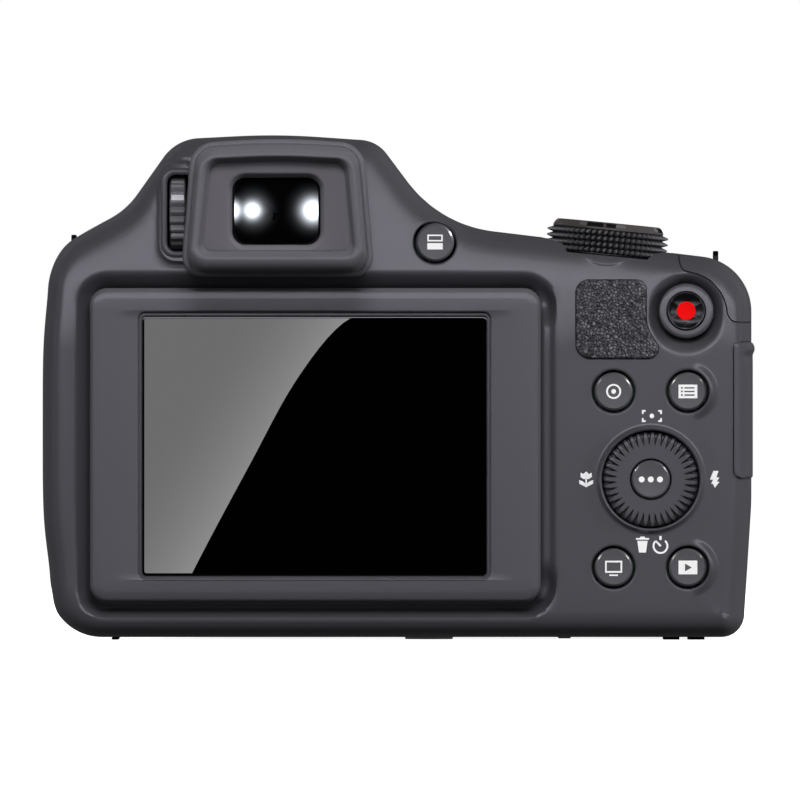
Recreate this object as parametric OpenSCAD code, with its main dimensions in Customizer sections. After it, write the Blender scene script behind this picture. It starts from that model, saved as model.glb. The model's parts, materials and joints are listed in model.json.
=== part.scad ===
// Bridge camera: moulded shells round a collapsing zoom lens, an electronic viewfinder,
// a fixed rear screen and the controls round it.
// +X points to the user's right, +Y along the lens towards the subject, +Z up.
// The origin is the mouth of the tripod socket, on the plane that the camera stands on.

/* [Body] */
// Width of the body across the covers
body_w = 124.2; // [116:0.1:134]
// From the left side of the body to the tripod socket
socket_from_left = 67.7; // [62:0.1:72]
// From the back face to the tripod socket
socket_from_back = 24; // [22:0.1:27]
// Depth of the body from the back face to the front face
body_d = 48; // [44:0.1:54]
// Depth of the rear cover, back face to parting line
rear_cover_d = 16; // [14:0.1:18]
// Height of the left shoulder corner above the table
left_shoulder = 67.4; // [64:0.1:70]
// Height of the right shoulder corner above the table
right_shoulder = 66.1; // [64:0.1:69]
// Height of the crown of the hump above the table
hump_top = 88.6; // [86:0.1:93]
// Wall of the moulded covers
wall = 2; // [1.6:0.1:2.2]
// Height of the rubber feet
foot_h = 0.45; // [0.3:0.05:0.9]
// How far the rounded back edge runs in from the outline
edge_inset = 4.5; // [3:0.1:4.6]
// How far the rounded back edge runs forwards
edge_depth = 8; // [5:0.1:9]
// Height of the joint between the lower and the upper covers
top_joint = 57; // [56:0.1:58]
// From the right side of the body to the joint of the grip side
grip_joint = 36.5; // [35.5:0.1:38.5]
// From the socket to the nose of the grip
grip_front = 54; // [51:0.1:58]

/* [Lens] */
// From the left side of the body to the lens axis
lens_offset = 41.1; // [40.2:0.1:42.2]
// Height of the lens axis
lens_z = 37.5; // [37.2:0.1:38.2]
// Outer radius of the fixed barrel
barrel_r = 36; // [35:0.1:36.4]
// Outer radius of the neck that passes through the front cover
neck_r = 33; // [32.4:0.1:33.4]
// How far the rubber ring's ribs stand out of the fixed barrel
rib_rise = 0.9; // [0.6:0.1:1]
// Wall of each lens tube
tube_wall = 2; // [1.6:0.1:2.2]
// Radial clearance between two sliding lens tubes
tube_gap = 0.3; // [0.2:0.05:0.4]
// From the socket to the front of the fixed barrel
barrel_front = 66; // [62:0.1:70]
// From the socket to the front of the collapsed lens
lens_front = 80; // [77:0.1:84]
// Number of ribs on the barrel's rubber ring
ring_ribs = 96; // [60:1:110]

/* [Screen] */
// Width of the screen window
screen_w = 61.2; // [58:0.1:64]
// Height of the screen window
screen_h = 46; // [43:0.1:47]
// Width of the raised frame round the screen
bezel_w = 78.9; // [74:0.1:80]
// Height of the raised frame round the screen
bezel_h = 55; // [52:0.1:56]
// From the left side of the body to the middle of the screen
screen_offset = 47.8; // [46.7:0.1:48.7]
// Height of the middle of the screen
screen_z = 34.1; // [33.6:0.1:34.6]
// How far the frame stands out of the back face
bezel_rise = 1.2; // [0.8:0.1:1.6]
// Thickness of the screen's cover glass
glass_t = 1; // [0.7:0.1:1.1]

/* [Viewfinder] */
// Width of the eyepiece window
eyepiece_w = 15.2; // [13:0.1:17]
// Height of the eyepiece window
eyepiece_h = 11.6; // [10:0.1:12.6]
// Width of the rubber eyecup at its foot
eyecup_w = 34.1; // [33:0.1:35.4]
// Height of the rubber eyecup
eyecup_h = 24.1; // [23:0.1:24.6]
// From the back face to the rear of the eyecup
eyecup_rise = 10.8; // [9:0.1:13]
// Diameter of the dioptre wheel
dioptre_d = 13.6; // [12.6:0.1:14]

/* [Controls] */
// Diameter of a round key
key_d = 6.7; // [6:0.1:7]
// Gap round a key
key_gap = 0.4; // [0.25:0.05:0.5]
// Travel of a key
key_travel = 0.5; // [0.3:0.05:0.6]
// From the right side of the body to the middle of the key cluster
keys_x = 17.7; // [17.1:0.1:18.5]
// Height of the middle of the key cluster
keys_z = 28.1; // [27.6:0.1:28.6]
// Half the spacing of the key columns
keys_dx = 6.5; // [6.2:0.1:7]
// Half the spacing of the key rows
keys_dz = 15.4; // [15:0.1:16]
// Diameter of the four-way ring
nav_d = 16.6; // [15.6:0.1:17]
// Diameter of the middle key
set_d = 7.2; // [6.6:0.1:7.6]
// Rock of the four-way ring to each side, in degrees
nav_rock = 2; // [1:0.1:2.2]
// Diameter of the mode dial over its knurl
dial_d = 21.2; // [19:0.1:21.8]
// From the right side of the body to the mode dial's axis
dial_x = 25.5; // [24.5:0.1:26]
// Lean of the mode dial to the right, in degrees
dial_lean = 5.5; // [4:0.1:7]
// Pyramids round one row of the mode dial's knurl
knurl_count = 52; // [36:1:60]
// Diameter of the shutter button
shutter_d = 11; // [10:0.1:12]
// Travel of the shutter button
shutter_travel = 1; // [0.6:0.1:1.2]

/* [Power] */
// Thickness of the battery
battery_t = 12; // [10:0.1:12.6]
// Depth of the battery, front to back
battery_d = 38; // [34:0.1:38.6]
// Height of the battery
battery_h = 50; // [44:0.1:50.4]

/* [Hidden] */

$fn = 64;
shell_grey = [0.30, 0.30, 0.32];
key_grey = [0.35, 0.35, 0.37];
soft_black = [0.14, 0.14, 0.15];
steel = [0.72, 0.72, 0.74];
board_green = [0.10, 0.30, 0.18];
glass_tint = [0.06, 0.06, 0.08];

// Clearances that several pieces share
seat_gap = 0.1;
loose_gap = 0.3;
run_gap = 0.05;

// Planes of the body
body_left = -socket_from_left;
body_right = body_left + body_w;
base_z = foot_h;
back_y = -socket_from_back;
front_y = back_y + body_d;
split_y = back_y + rear_cover_d;
inner_back = back_y + wall;

// The lens axis and the hump above it
lens_x = body_left + lens_offset;
hump_x = lens_x;

// What is placed from the right side of the body
grip_side_x = body_right - grip_joint;
cluster_x = body_right - keys_x;
dial_axis_x = body_right - dial_x;

// The corners of the body's outline seen from the back: [x, z, radius], a negative turn is a hollow
flank_r = 22;
flank_out = 28.5;
flank_rise = 6.6;
foot_in = 1.5;
foot_r = 5;
waist_h = 23.5;
waist_r = 60;
shoulder_r = 11;
outline_corners = [
    [body_left, base_z, 12],
    [body_right - foot_in, base_z, foot_r],
    [body_right, base_z + waist_h, waist_r],
    [body_right, right_shoulder, shoulder_r],
    [hump_x + flank_out, right_shoulder + flank_rise, flank_r],
    [hump_x + 17.5, hump_top - 1.2, 6],
    [hump_x, hump_top, 120],
    [hump_x - 17.7, hump_top - 0.9, 8],
    [hump_x - 26.4, left_shoulder + 8, 14],
    [body_left, left_shoulder, 10]
];
corner_steps = 6;
outline_middle = [hump_x, 42];
shoulder_corner = 3;

// The back leans forwards above this height
lean_from = 58;
lean_rate = 0.14;
lean_soft = 8;
inner_edge = 2.5;
inner_edge_depth = 4;
front_edge_inset = 3;
front_edge_depth = 5;

// Angle steps of a rounded edge
edge_steps = [0, 15, 30, 45, 60, 75, 90];
inner_steps = [0, 30, 60, 90];
cap_scales = [0.5, 0.72, 0.88];

// Unit vector of an angle in degrees
function unit_at(a) = [cos(a), sin(a)];

// Angle of the line from p to q
function heading(p, q) = atan2(q[1] - p[1], q[0] - p[0]);

// A turn brought into -180 to 180 degrees
function wrapped(a) = a > 180 ? a - 360 : a < -180 ? a + 360 : a;

// One rounded corner as [x, z, normal x, normal z] points
function corner_arc(before, at, after, steps) =
    let (a1 = heading(before, at), turn = wrapped(heading(at, after) - a1))
    let (s = turn < 0 ? -1 : 1, r = at[2], t = r * tan(abs(turn) / 2))
    let (start = [at[0], at[1]] - t * unit_at(a1), centre = start + s * r * unit_at(a1 + 90))
    [for (k = [0:steps])
        let (n = unit_at(a1 + turn * k / steps - 90), p = centre + s * r * n) [p[0], p[1], n[0], n[1]]];

// A closed outline from rounded corners
function outline(corners, steps = corner_steps) =
    let (n = len(corners))
    [for (i = [0:n - 1]) each corner_arc(corners[(i + n - 1) % n], corners[i], corners[(i + 1) % n],
        steps)];

// A ring of 3-D points: the outline moved in by d, at depth y
function ring_at(o, y, d) = [for (p = o) [p[0] - p[2] * d, y, p[1] - p[3] * d]];

// How far the back leans forwards at a height, fading out at the parting line
function lean(z, y) =
    let (t = max(0, z - lean_from))
    lean_rate * t * t / (t + lean_soft) * max(0, split_y - y) / (split_y - back_y);

// Forward lean of every point of a ring
function leaned(ring) = [for (p = ring) [p[0], p[1] + lean(p[2], p[1]), p[2]]];

// A ring drawn in towards the middle of the outline
function drawn_in(ring, s) = [for (p = ring)
    [outline_middle[0] + s * (p[0] - outline_middle[0]), p[1],
        outline_middle[1] + s * (p[2] - outline_middle[1])]];

// Faces that join ring i to ring i + 1, for rings of n points
function band(i, j, n) = [for (k = [0:n - 1]) let (m = (k + 1) % n)
    each [[i * n + k, i * n + m, j * n + m], [i * n + k, j * n + m, j * n + k]]];

// A closed skin over rings, with a fan on each end
module skin(rings, first_middle, last_middle) {
    n = len(rings[0]);
    last = len(rings) - 1;
    points = [each [for (r = rings) each r], first_middle, last_middle];
    polyhedron(points, [
        each [for (i = [0:last - 1]) each band(i, i + 1, n)],
        each [for (k = [0:n - 1]) [n * (last + 1), (k + 1) % n, k]],
        each [for (k = [0:n - 1]) [n * (last + 1) + 1, last * n + k, last * n + (k + 1) % n]]
    ], convexity = 8);
}

// A closed tube over rings, the last joined back to the first
module tube_skin(rings) {
    n = len(rings[0]);
    count = len(rings);
    polyhedron([each [for (r = rings) each r]],
        [each [for (i = [0:count - 1]) each band(i, (i + 1) % count, n)]], convexity = 8);
}

// Lays a shape drawn in XY flat on the back, its Z pointing backwards
module on_back(x, y, z) {
    translate([x, y, z]) rotate([90, 0, 0]) children();
}

// A cylinder along +Y
module rod_y(x, y, z, r, h) {
    translate([x, y, z]) rotate([-90, 0, 0]) cylinder(r = r, h = h);
}

// A cylinder along +X
module rod_x(x, y, z, r, h) {
    translate([x, y, z]) rotate([0, 90, 0]) cylinder(r = r, h = h);
}

// A flat rectangle with true round corners
module round_rect(w, h, r) {
    square([w - 2 * r, h], center = true);
    square([w, h - 2 * r], center = true);
    for (sx = [-1, 1], sy = [-1, 1]) translate([sx * (w / 2 - r), sy * (h / 2 - r)]) circle(r);
}

// A slab with round corners, facing backwards, its back face at y
module slab(x, y, z, w, h, r, t) {
    on_back(x, y + t, z) linear_extrude(t) round_rect(w, h, r);
}

// A box between two corners
module span(low, high) {
    translate(low) cube(high - low);
}

// The rear shell: the outside from the back to the parting line, then the inside back again
body_outline = outline(outline_corners);
module rear_shell() {
    outer = [for (a = edge_steps)
        leaned(ring_at(body_outline, back_y + edge_depth * (1 - cos(a)), edge_inset * (1 - sin(a))))];
    inner = [for (i = [len(inner_steps) - 1:-1:0]) let (a = inner_steps[i])
        leaned(ring_at(body_outline, inner_back + inner_edge_depth * (1 - cos(a)),
            wall + inner_edge * (1 - sin(a))))];
    skin([each [for (s = cap_scales) leaned(drawn_in(ring_at(body_outline, back_y, edge_inset), s))],
            each outer, ring_at(body_outline, split_y, 0), ring_at(body_outline, split_y, wall), each inner,
            each [for (i = [len(cap_scales) - 1:-1:0])
                leaned(drawn_in(ring_at(body_outline, inner_back, wall + inner_edge), cap_scales[i]))]],
        [outline_middle[0], back_y, outline_middle[1]], [outline_middle[0], inner_back, outline_middle[1]]);
}

// The front shell of the whole outline, open towards the rear cover
module front_shell() {
    ends = [for (i = [len(inner_steps) - 1:-1:0]) inner_steps[i]];
    outer = [for (a = ends)
        ring_at(body_outline, front_y - front_edge_depth * (1 - cos(a)), front_edge_inset * (1 - sin(a)))];
    inner = [for (a = inner_steps)
        ring_at(body_outline, front_y - wall - (front_edge_depth - wall) * (1 - cos(a)),
            wall + 1.5 * (1 - sin(a)))];
    skin([each inner, ring_at(body_outline, split_y, wall), ring_at(body_outline, split_y, 0), each outer],
        [outline_middle[0], front_y - wall, outline_middle[1]], [outline_middle[0],
            front_y, outline_middle[1]]);
}

// One solid of the front half, for the pieces that continue its surface
module front_form() {
    ends = [for (i = [len(inner_steps) - 1:-1:0]) inner_steps[i]];
    skin([ring_at(body_outline, split_y, 0), each [for (a = ends)
            ring_at(body_outline, front_y - front_edge_depth * (1 - cos(a)),
                front_edge_inset * (1 - sin(a)))]],
        [outline_middle[0], split_y, outline_middle[1]], [outline_middle[0], front_y, outline_middle[1]]);
}

// The grip: sections that fall and draw in towards its nose
grip_nose = 16;
grip_pull = 9;
deck_fall = 0.13;
deck_level = 6;
function deck_rise(x) = flank_rise * (body_right - x) / (body_right - hump_x - flank_out);
joint_shoulder = right_shoulder + deck_rise(grip_side_x);
grip_taper = 6;
function grip_along(y) = max(0, (y - front_y) / (grip_front - front_y));
function deck_drop(y) = deck_fall * max(0, y - deck_level);
function grip_corners(y, d, t) =
    let (u = grip_along(y), e = d + t, left = grip_side_x + grip_taper * u * u, r = max(0.4,
        0.8 + 4 * u - t))
    [[left + e, base_z + e, r],
        [body_right - foot_in - e, base_z + e, foot_r - t],
        [body_right - e, base_z + waist_h, waist_r],
        [body_right - e, right_shoulder - deck_drop(y) - e, shoulder_r - 0.6 * d - t],
        [left + e, joint_shoulder - deck_drop(y) - e, r]];
function grip_stations(nose, front) = [[split_y, 0], [deck_level, 0], [front_y, 0], [front - nose, 0],
    each [for (a = [15:15:90]) [front - nose * (1 - sin(a)), grip_pull * (1 - cos(a))]]];
function grip_ring(s, t) = ring_at(outline(grip_corners(s[0], s[1], t), 5), s[0], 0);
module grip_form() {
    outer = [for (s = grip_stations(grip_nose, grip_front)) grip_ring(s, 0)];
    inner = [for (s = grip_stations(grip_nose - wall, grip_front - wall)) grip_ring(s, wall)];
    middle = [(grip_side_x + grip_taper + body_right) / 2, lens_z - 7];
    skin([each [for (i = [len(inner) - 1:-1:0]) inner[i]], each outer],
        [middle[0], grip_front - wall, middle[1]], [middle[0], grip_front, middle[1]]);
}

// A point on the rounded back edge: p on the outline, a round the edge, t below the skin
// and s further forwards
function edge_point(p, a, t, s) =
    let (y = back_y + edge_depth * (1 - cos(a)) + t * cos(a) + s,
        d = edge_inset * (1 - sin(a)) + t * sin(a))
    let (x = p[0] - p[2] * d, z = p[1] - p[3] * d) [x, y + lean(z, y), z];

// A strip of the outline carried over the rounded back edge, from t_out above the skin to t_in below it
module edge_patch(strip, stations, t_out, t_in) {
    n = len(strip);
    m = 2 * n;
    last = (len(stations) - 1) * m;
    points = [for (s = stations) each [
        each [for (p = strip) edge_point(p, s[0], -t_out, s[1])],
        each [for (k = [n - 1:-1:0]) edge_point(strip[k], s[0], t_in, s[1])]]];
    polyhedron(points, [
        each [for (i = [0:len(stations) - 2]) each band(i, i + 1, m)],
        each [for (k = [0:n - 2]) each [[k, m - 1 - k, m - 2 - k], [k, m - 2 - k, k + 1]]],
        each [for (k = [0:n - 2])
            each [[last + k, last + m - 2 - k, last + m - 1 - k],
                [last + k, last + k + 1, last + m - 2 - k]]]
    ], convexity = 6);
}

// The trim over the right rear shoulder
trim_t = 1;
trim_low = right_shoulder - 11.7;
trim_arc = corner_arc(outline_corners[shoulder_corner - 1], outline_corners[shoulder_corner],
    outline_corners[shoulder_corner + 1], corner_steps);
trim_end = trim_arc[corner_steps - 1];
trim_strip = [[body_right, trim_low, 1, 0], each [for (k = [0:corner_steps - 1]) trim_arc[k]]];
trim_cut_strip = [[body_right, trim_low - seat_gap, 1, 0],
    each [for (k = [0:corner_steps - 2]) trim_arc[k]],
    [trim_end[0] - trim_end[3] * seat_gap, trim_end[1] + trim_end[2] * seat_gap, trim_end[2], trim_end[3]]];
trim_steps = [32, 45, 60, 75, 90];

// The port cover on the right rear corner
port_low = keys_z + 0.25;
port_high = port_low + 23.8;
port_proud = 0.25;
port_t = 1.3;
port_bead_r = 0.8;
port_axis_x = body_right - 0.2;
port_axis_y = split_y - 2;
port_back = back_y + 6.6;
port_steps = [[18, 0], [35, 0], [52, 0], [70, 0], [90, 0], [90, port_axis_y - 1.2 - back_y - edge_depth]];

// The screen
screen_x = body_left + screen_offset;
bezel_face = back_y - bezel_rise;
bezel_foot = back_y + 0.8;
glass_face = bezel_face + 0.3;
trough_r = 1.6;

// The keys, as [x, z]
info_at = [cluster_x - keys_dx, keys_z + keys_dz];
menu_at = [cluster_x + keys_dx, keys_z + keys_dz];
display_at = [cluster_x - keys_dx, keys_z - keys_dz];
playback_at = [cluster_x + keys_dx, keys_z - keys_dz];
record_at = [cluster_x + 6.2, keys_z + 29.5];
evf_key_at = [hump_x + 27.65, right_shoulder + 3.5];
evf_key_lean = lean(evf_key_at[1], back_y);
key_proud = 0.35;
key_flange = 1;
key_flange_t = 0.8;
key_stem_r = 1;
evf_key_long = 4.4;
evf_tab_gap = 1.1;
evf_tab_half = 2.5;
evf_tab_drop = 2;
board_y = back_y + 5;
board_t = 1.2;
nav_hole_r = nav_d / 2 + loose_gap;
nav_back = inner_back + 0.4;
pad_y = inner_back + 1.1;
pad_axis_y = pad_y + 0.4;

// The mode dial
dial_y = split_y - 1.5;
dial_z = right_shoulder + 1.05;
dial_knurl_h = 4.6;
dial_cap_h = 1.3;
dial_r = dial_d / 2;
dial_pocket_r = dial_r + 0.4;
dial_shaft_r = 2;
module at_dial() {
    translate([dial_axis_x, dial_y, dial_z]) rotate([0, dial_lean, 0]) children();
}

// The shutter button and its zoom lever, on the falling deck
shutter_x = body_right - 14.5;
shutter_y = grip_front - 19;
shutter_tilt = 8;
shutter_z = right_shoulder - deck_drop(shutter_y) + deck_rise(shutter_x);
lever_r = 9.4;
lever_h = 2;
module at_shutter() {
    translate([shutter_x, shutter_y, shutter_z]) rotate([-shutter_tilt, 6, 0]) children();
}
power_x = body_right - 18.5;
power_y = front_y - 15;
power_d = 7;
power_long = 3.8;
power_proud = 0.4;
power_z = right_shoulder - deck_drop(power_y) + deck_rise(power_x);

// The viewfinder
eyecup_foot = back_y + 4;
eyecup_back = back_y - eyecup_rise;
eyecup_low = hump_top - 0.9 - eyecup_h;
eyepiece_z = eyecup_low + 10.9;
function eyecup_corners(d) = [
    [hump_x - eyecup_w / 2 + d, eyecup_low + d, 5],
    [hump_x + eyecup_w / 2 - d, eyecup_low + d, 5],
    [hump_x + eyecup_w / 2 - 2.3 - d, eyecup_low + eyecup_h - d, 5.5],
    [hump_x - eyecup_w / 2 + 1.8 + d, eyecup_low + eyecup_h - d, 5.5]];
function eyecup_ring(y, d) = ring_at(outline(eyecup_corners(d), 5), y, 0);
recess_x = hump_x - 0.1;
recess_w = 25.4;
recess_h = 17;
recess_floor = back_y - 5.5;
function recess_ring(y, d) = ring_at(outline([
    [recess_x - recess_w / 2 + d, eyepiece_z - recess_h / 2 + d, 4.4],
    [recess_x + recess_w / 2 - d, eyepiece_z - recess_h / 2 + d, 4.4],
    [recess_x + recess_w / 2 - d, eyepiece_z + recess_h / 2 - d, 4.4],
    [recess_x - recess_w / 2 + d, eyepiece_z + recess_h / 2 - d, 4.4]], 5), y, 0);
evf_back = eyecup_foot;
evf_low = hump_top - 21.1;
evf_high = hump_top - 5.6;
evf_half = 9.5;
evf_flange_w = 30;
evf_flange_h = recess_h - 0.6;
evf_flange_r = 3;
evf_flange_t = 1.5;
evf_front = split_y + 5;
dioptre_x = hump_x - eyecup_w / 2 - 0.8;
dioptre_t = 2.1;
dioptre_room = dioptre_t / 2 + 0.4;
dioptre_wash = dioptre_t / 2 + 0.2;
dioptre_y = back_y + 6;
dioptre_z = eyepiece_z + 0.5;
dioptre_shaft_r = 1.2;
dioptre_boss_r = dioptre_y - eyecup_foot - run_gap;

// The lens tubes, each inside the one before
inner_r = neck_r - tube_wall;
middle_r = inner_r - tube_gap;
front_r = middle_r - tube_wall - tube_gap;
glass_r = front_r - tube_wall - 3.4;
housing_back = split_y + 6;
neck_back = front_y - 2.5;
barrel_back = front_y + 0.3;
ring_back = barrel_back + 13.7;
ring_front = barrel_front - 10;

// The flash head on the hump
flash_half = 13;
flash_low = hump_top - 8.1;
flash_axis_y = split_y + 10.2;
flash_axis_z = hump_top - 2.7;
flash_barrel_r = 1.6;
flash_pin_r = 1;
flash_rear = flash_axis_y + 2.2;

// The battery side
battery_x = body_right - 25;
battery_y = front_y - 21.4;
bay_wall = 1;
bay_low = base_z + 2.6;
door_left = battery_x - 4.2;
door_right = door_left + 21.7;
door_back = battery_y - 1.6;
door_front = battery_y + battery_d + 1.4;
door_t = 2;
door_axis_z = base_z + 1;
door_pin_r = 0.5;
door_swing_room = 1.4;
card_t = 2.1;
latch_y = (door_back + door_front) / 2 - 2.3;

// The screws that close the rear cover from below
screw_y = split_y - 3;
screw_places = [body_left + 17.7, lens_x + 12.6, grip_side_x - 5];
screw_head_r = 1.6;
screw_r = 0.8;

// The tripod bush
socket_r = 3.175;
socket_depth = 8;

// The strap lugs, as [x, y, z] of each slot's middle
lug_t = 0.9;
lug_slot_w = 4.4;
lug_slot_h = 1.2;
lug_right = [body_right - 6.1, split_y + 12.5, right_shoulder + 0.6];
lug_left = [body_left + 5.4, front_y - 8, left_shoulder + 1.6];
module lug_slit(at) {
    span([at[0] - lug_t / 2 - seat_gap, at[1] - 4.5, at[2] - 9],
        [at[0] + lug_t / 2 + seat_gap, at[1] + 4.5, at[2] + 9]);
}

// The channel round the screen frame
module screen_trough() {
    w = bezel_w / 2 + 0.5;
    h = bezel_h / 2 + 0.5;
    r = 3.4;
    y = back_y - 0.4;
    for (s = [-1, 1]) {
        rod_x(screen_x - w + r, y, screen_z + s * h, trough_r, 2 * (w - r));
        translate([screen_x + s * w, y, screen_z - h + r]) cylinder(r = trough_r, h = 2 * (h - r));
    }
    for (sx = [-1, 1], sz = [-1, 1]) on_back(screen_x + sx * (w - r), y, screen_z + sz * (h - r))
        rotate([0, 0, sx > 0 ? (sz > 0 ? 0 : 270) : (sz > 0 ? 90 : 180)])
            rotate_extrude(angle = 90) translate([r, 0]) circle(trough_r, $fn = 32);
}

// Hole through the back for a key
module key_hole(at, r) {
    rod_y(at[0], back_y - 3, at[1], r, wall + 4.4);
}

// Outline of the thumb rest
module thumb_shape(d) {
    left = cluster_x - 13.2;
    right = cluster_x - 0.4;
    low = keys_z + 21.2;
    high = keys_z + 34.9;
    corners = [[left, low, 2.4], [right + 2.9, low, 1.6], [right, low + 5.3, 4], [right, high, 1.8],
        [left, high, 2]];
    polygon([for (p = outline(corners, 5)) [p[0] - p[2] * d, p[1] - p[3] * d]]);
}

module rear_cover() {
    color(shell_grey) difference() {
        union() {
            difference() {
                rear_shell();
                screen_trough();
                slab(screen_x, back_y - 2, screen_z, bezel_w + 2 * seat_gap, bezel_h + 2 * seat_gap, 2.6,
                    2.8);
                on_back(record_at[0], back_y, record_at[1]) rotate_extrude() translate([5.4,
                    0.35]) circle(1.1, $fn = 32);
                edge_patch(trim_cut_strip, [[30, 0], each [for (a = trim_steps) [a, 0]],
                    [90, edge_depth + 2]],
                    1.5, trim_t + 0.05);
                edge_patch([[body_right, port_low - seat_gap, 1, 0],
                    [body_right, port_high + seat_gap, 1, 0]],
                    [[15, 0], each [for (k = [1:4]) port_steps[k]],
                        [90, port_axis_y + 1.1 - back_y - edge_depth]],
                    1.5, port_t + 0.2);
                span([body_right - 6.5, port_back + 0.4, port_low + 2.65],
                    [body_right + 1.5, port_back + 5.8, port_high - 2.65]);
                tube_cut_eyecup();
                slab(hump_x, evf_back - 1, eyepiece_z, evf_flange_w + 2 * loose_gap,
                    evf_flange_h + 2 * loose_gap,
                    evf_flange_r + loose_gap, evf_flange_t + 4);
                at_dial() translate([0, 0, -2.3]) cylinder(r = dial_pocket_r, h = 20);
                span([dioptre_x - dioptre_room, dioptre_y - 9, dioptre_z - 7.3],
                    [dioptre_x + dioptre_room, dioptre_y + 7.1, dioptre_z + 7.3]);
            }
            rod_y(cluster_x, back_y - 0.5, keys_z, nav_hole_r + 0.75, 1.5);
            rod_y(record_at[0], back_y - 0.5, record_at[1], 4.55, 2.4);
            for (s = [-1, 1]) {
                span([cluster_x + s * 10 - 0.5, inner_back - 0.5, keys_z - 1.4],
                    [cluster_x + s * 10 + 0.5, pad_axis_y + 1, keys_z + 1.4]);
            }
            for (x = [-12.3, 12.7], z = [-7.6, 7.4])
                rod_y(cluster_x + x, inner_back - 0.5, keys_z + z, 1.3, board_y - inner_back + 0.5);
            for (x = screw_places) translate([x, screw_y, base_z + 1]) cylinder(r = 2.2, h = 2);
        }
        slab(screen_x, back_y - 3, screen_z, screen_w - 2, screen_h - 2, 1, 8);
        for (at = [info_at, menu_at, display_at, playback_at]) key_hole(at, key_d / 2 + key_gap);
        rod_y(evf_key_at[0], back_y - 3, evf_key_at[1], key_d / 2 + key_gap, evf_key_long + 5.6);
        key_hole(record_at, 3.3);
        key_hole([cluster_x, keys_z], nav_hole_r);
        on_back(0, back_y + 0.6, 0) linear_extrude(5) thumb_shape(0);
        rod_x(cluster_x - 11, pad_axis_y, keys_z, 0.75, 22);
        for (x = screw_places) translate([x, screw_y, base_z - 1]) {
            cylinder(r = screw_head_r + seat_gap, h = 1.9);
            cylinder(r = screw_r + seat_gap, h = 6);
        }
    }
}

// Room for the eyecup in the rear cover
module tube_cut_eyecup() {
    skin([eyecup_ring(eyecup_back - 2, -seat_gap), eyecup_ring(eyecup_foot, -seat_gap)],
        [hump_x, eyecup_back - 2, eyepiece_z], [hump_x, eyecup_foot, eyepiece_z]);
}

// What the lens side loses to the grip side, and the lower covers to the upper ones
module grip_side() {
    span([grip_side_x, split_y - 1, -5], [body_right + 20, 90, 120]);
}
module above_joint() {
    span([-100, split_y - 1, top_joint], [100, 90, 120]);
}
module below_joint() {
    span([-100, split_y - 1, -5], [100, 90, top_joint]);
}

module front_cover() {
    color(shell_grey) difference() {
        front_shell();
        grip_side();
        above_joint();
        rod_y(lens_x, front_y - 10, lens_z, neck_r + 0.2, 20);
        translate([0, 0, -1]) cylinder(r = 4.3, h = 5);
    }
}

module top_cover() {
    color(shell_grey) difference() {
        union() {
            difference() {
                front_shell();
                grip_side();
                below_joint();
                rod_y(lens_x, front_y - 10, lens_z, neck_r + 0.2, 20);
                span([hump_x - flash_half - loose_gap, flash_axis_y - flash_barrel_r - loose_gap,
                    flash_low - loose_gap],
                    [hump_x + flash_half + loose_gap, front_y + 5, 120]);
            }
            for (s = [-1, 1]) translate([hump_x + s * (flash_half + loose_gap + 1), flash_axis_y,
                flash_axis_z - 0.4])
                cube([2, 4, 3.2], center = true);
            span([lug_left[0] - 2.1, lug_left[1] - 6, lug_left[2] - 6],
                [lug_left[0] + 3.3, lug_left[1] + 6, lug_left[2] - 0.75]);
        }
        rod_x(hump_x - flash_half - 2, flash_axis_y, flash_axis_z, flash_pin_r + 0.02, 2 * flash_half + 4);
        rod_y(lug_left[0], lug_left[1] - 5.5, lug_left[2] + 1.4, 2.6, 11);
        lug_slit(lug_left);
    }
}

module control_deck() {
    color(shell_grey) difference() {
        union() {
            difference() {
                grip_form();
                below_joint();
            }
            at_shutter() translate([0, 0, -3.2]) cylinder(r = 7.2, h = 2.9);
        }
        at_dial() translate([0, 0, -2.3]) cylinder(r = dial_pocket_r, h = 20);
        at_shutter() {
            translate([0, 0, -6]) cylinder(r = 4.3, h = 12);
            cylinder(r = lever_r + 0.6, h = 8);
            translate([0, 0, -0.9]) cylinder(r = 6.1, h = 2);
        }
        translate([power_x, power_y, power_z - 8]) cylinder(r = power_d / 2 + key_gap, h = 12);
        lug_slit(lug_right);
    }
}

module grip_shell() {
    color(shell_grey) difference() {
        grip_form();
        above_joint();
        span([door_left, door_back - 0.2, -1], [door_right + 0.2, door_front + 0.2, 6]);
        rod_y(door_left, door_back - 0.2, door_axis_z, 1 + loose_gap, door_front - door_back + 0.4);
        span([door_left - door_swing_room, door_back - 0.2, -1],
            [door_left, door_front + 0.2, door_axis_z]);
        rod_y(door_left, door_back - 2, door_axis_z, door_pin_r + 0.02, door_front - door_back + 4);
        grip_skin_box(0);
    }
}

// The recess for the rubber on the finger side of the grip
module grip_skin_box(gap) {
    span([grip_side_x - 1, front_y + 4 + gap, base_z + 8.55 + gap],
        [grip_side_x + 3.4, grip_front - 4 - gap, top_joint - 7 - gap]);
}

// The rubber on the finger side of the grip, let into the shell
module grip_rubber() {
    color(soft_black) intersection() {
        grip_form();
        grip_skin_box(seat_gap);
    }
}

module shoulder_trim() {
    color(shell_grey) edge_patch(trim_strip, [each [for (a = trim_steps) [a, 0]],
        [90, rear_cover_d - edge_depth]], 0, trim_t);
}

module thumb_pad() {
    color(soft_black) on_back(0, back_y + 0.6, 0) linear_extrude(1.2) thumb_shape(seat_gap);
}

module screen_bezel() {
    color(shell_grey) difference() {
        slab(screen_x, bezel_face, screen_z, bezel_w, bezel_h, 2.6, bezel_foot - bezel_face);
        slab(screen_x, bezel_face - 1, screen_z, screen_w, screen_h, 1,
            glass_face + glass_t - bezel_face + 1);
        slab(screen_x, bezel_face - 1, screen_z, screen_w - 3, screen_h - 3, 1, 5);
    }
}

module screen_window() {
    color(glass_tint) slab(screen_x, glass_face, screen_z, screen_w - 2 * seat_gap,
        screen_h - 2 * seat_gap, 0.9, glass_t);
}

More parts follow.
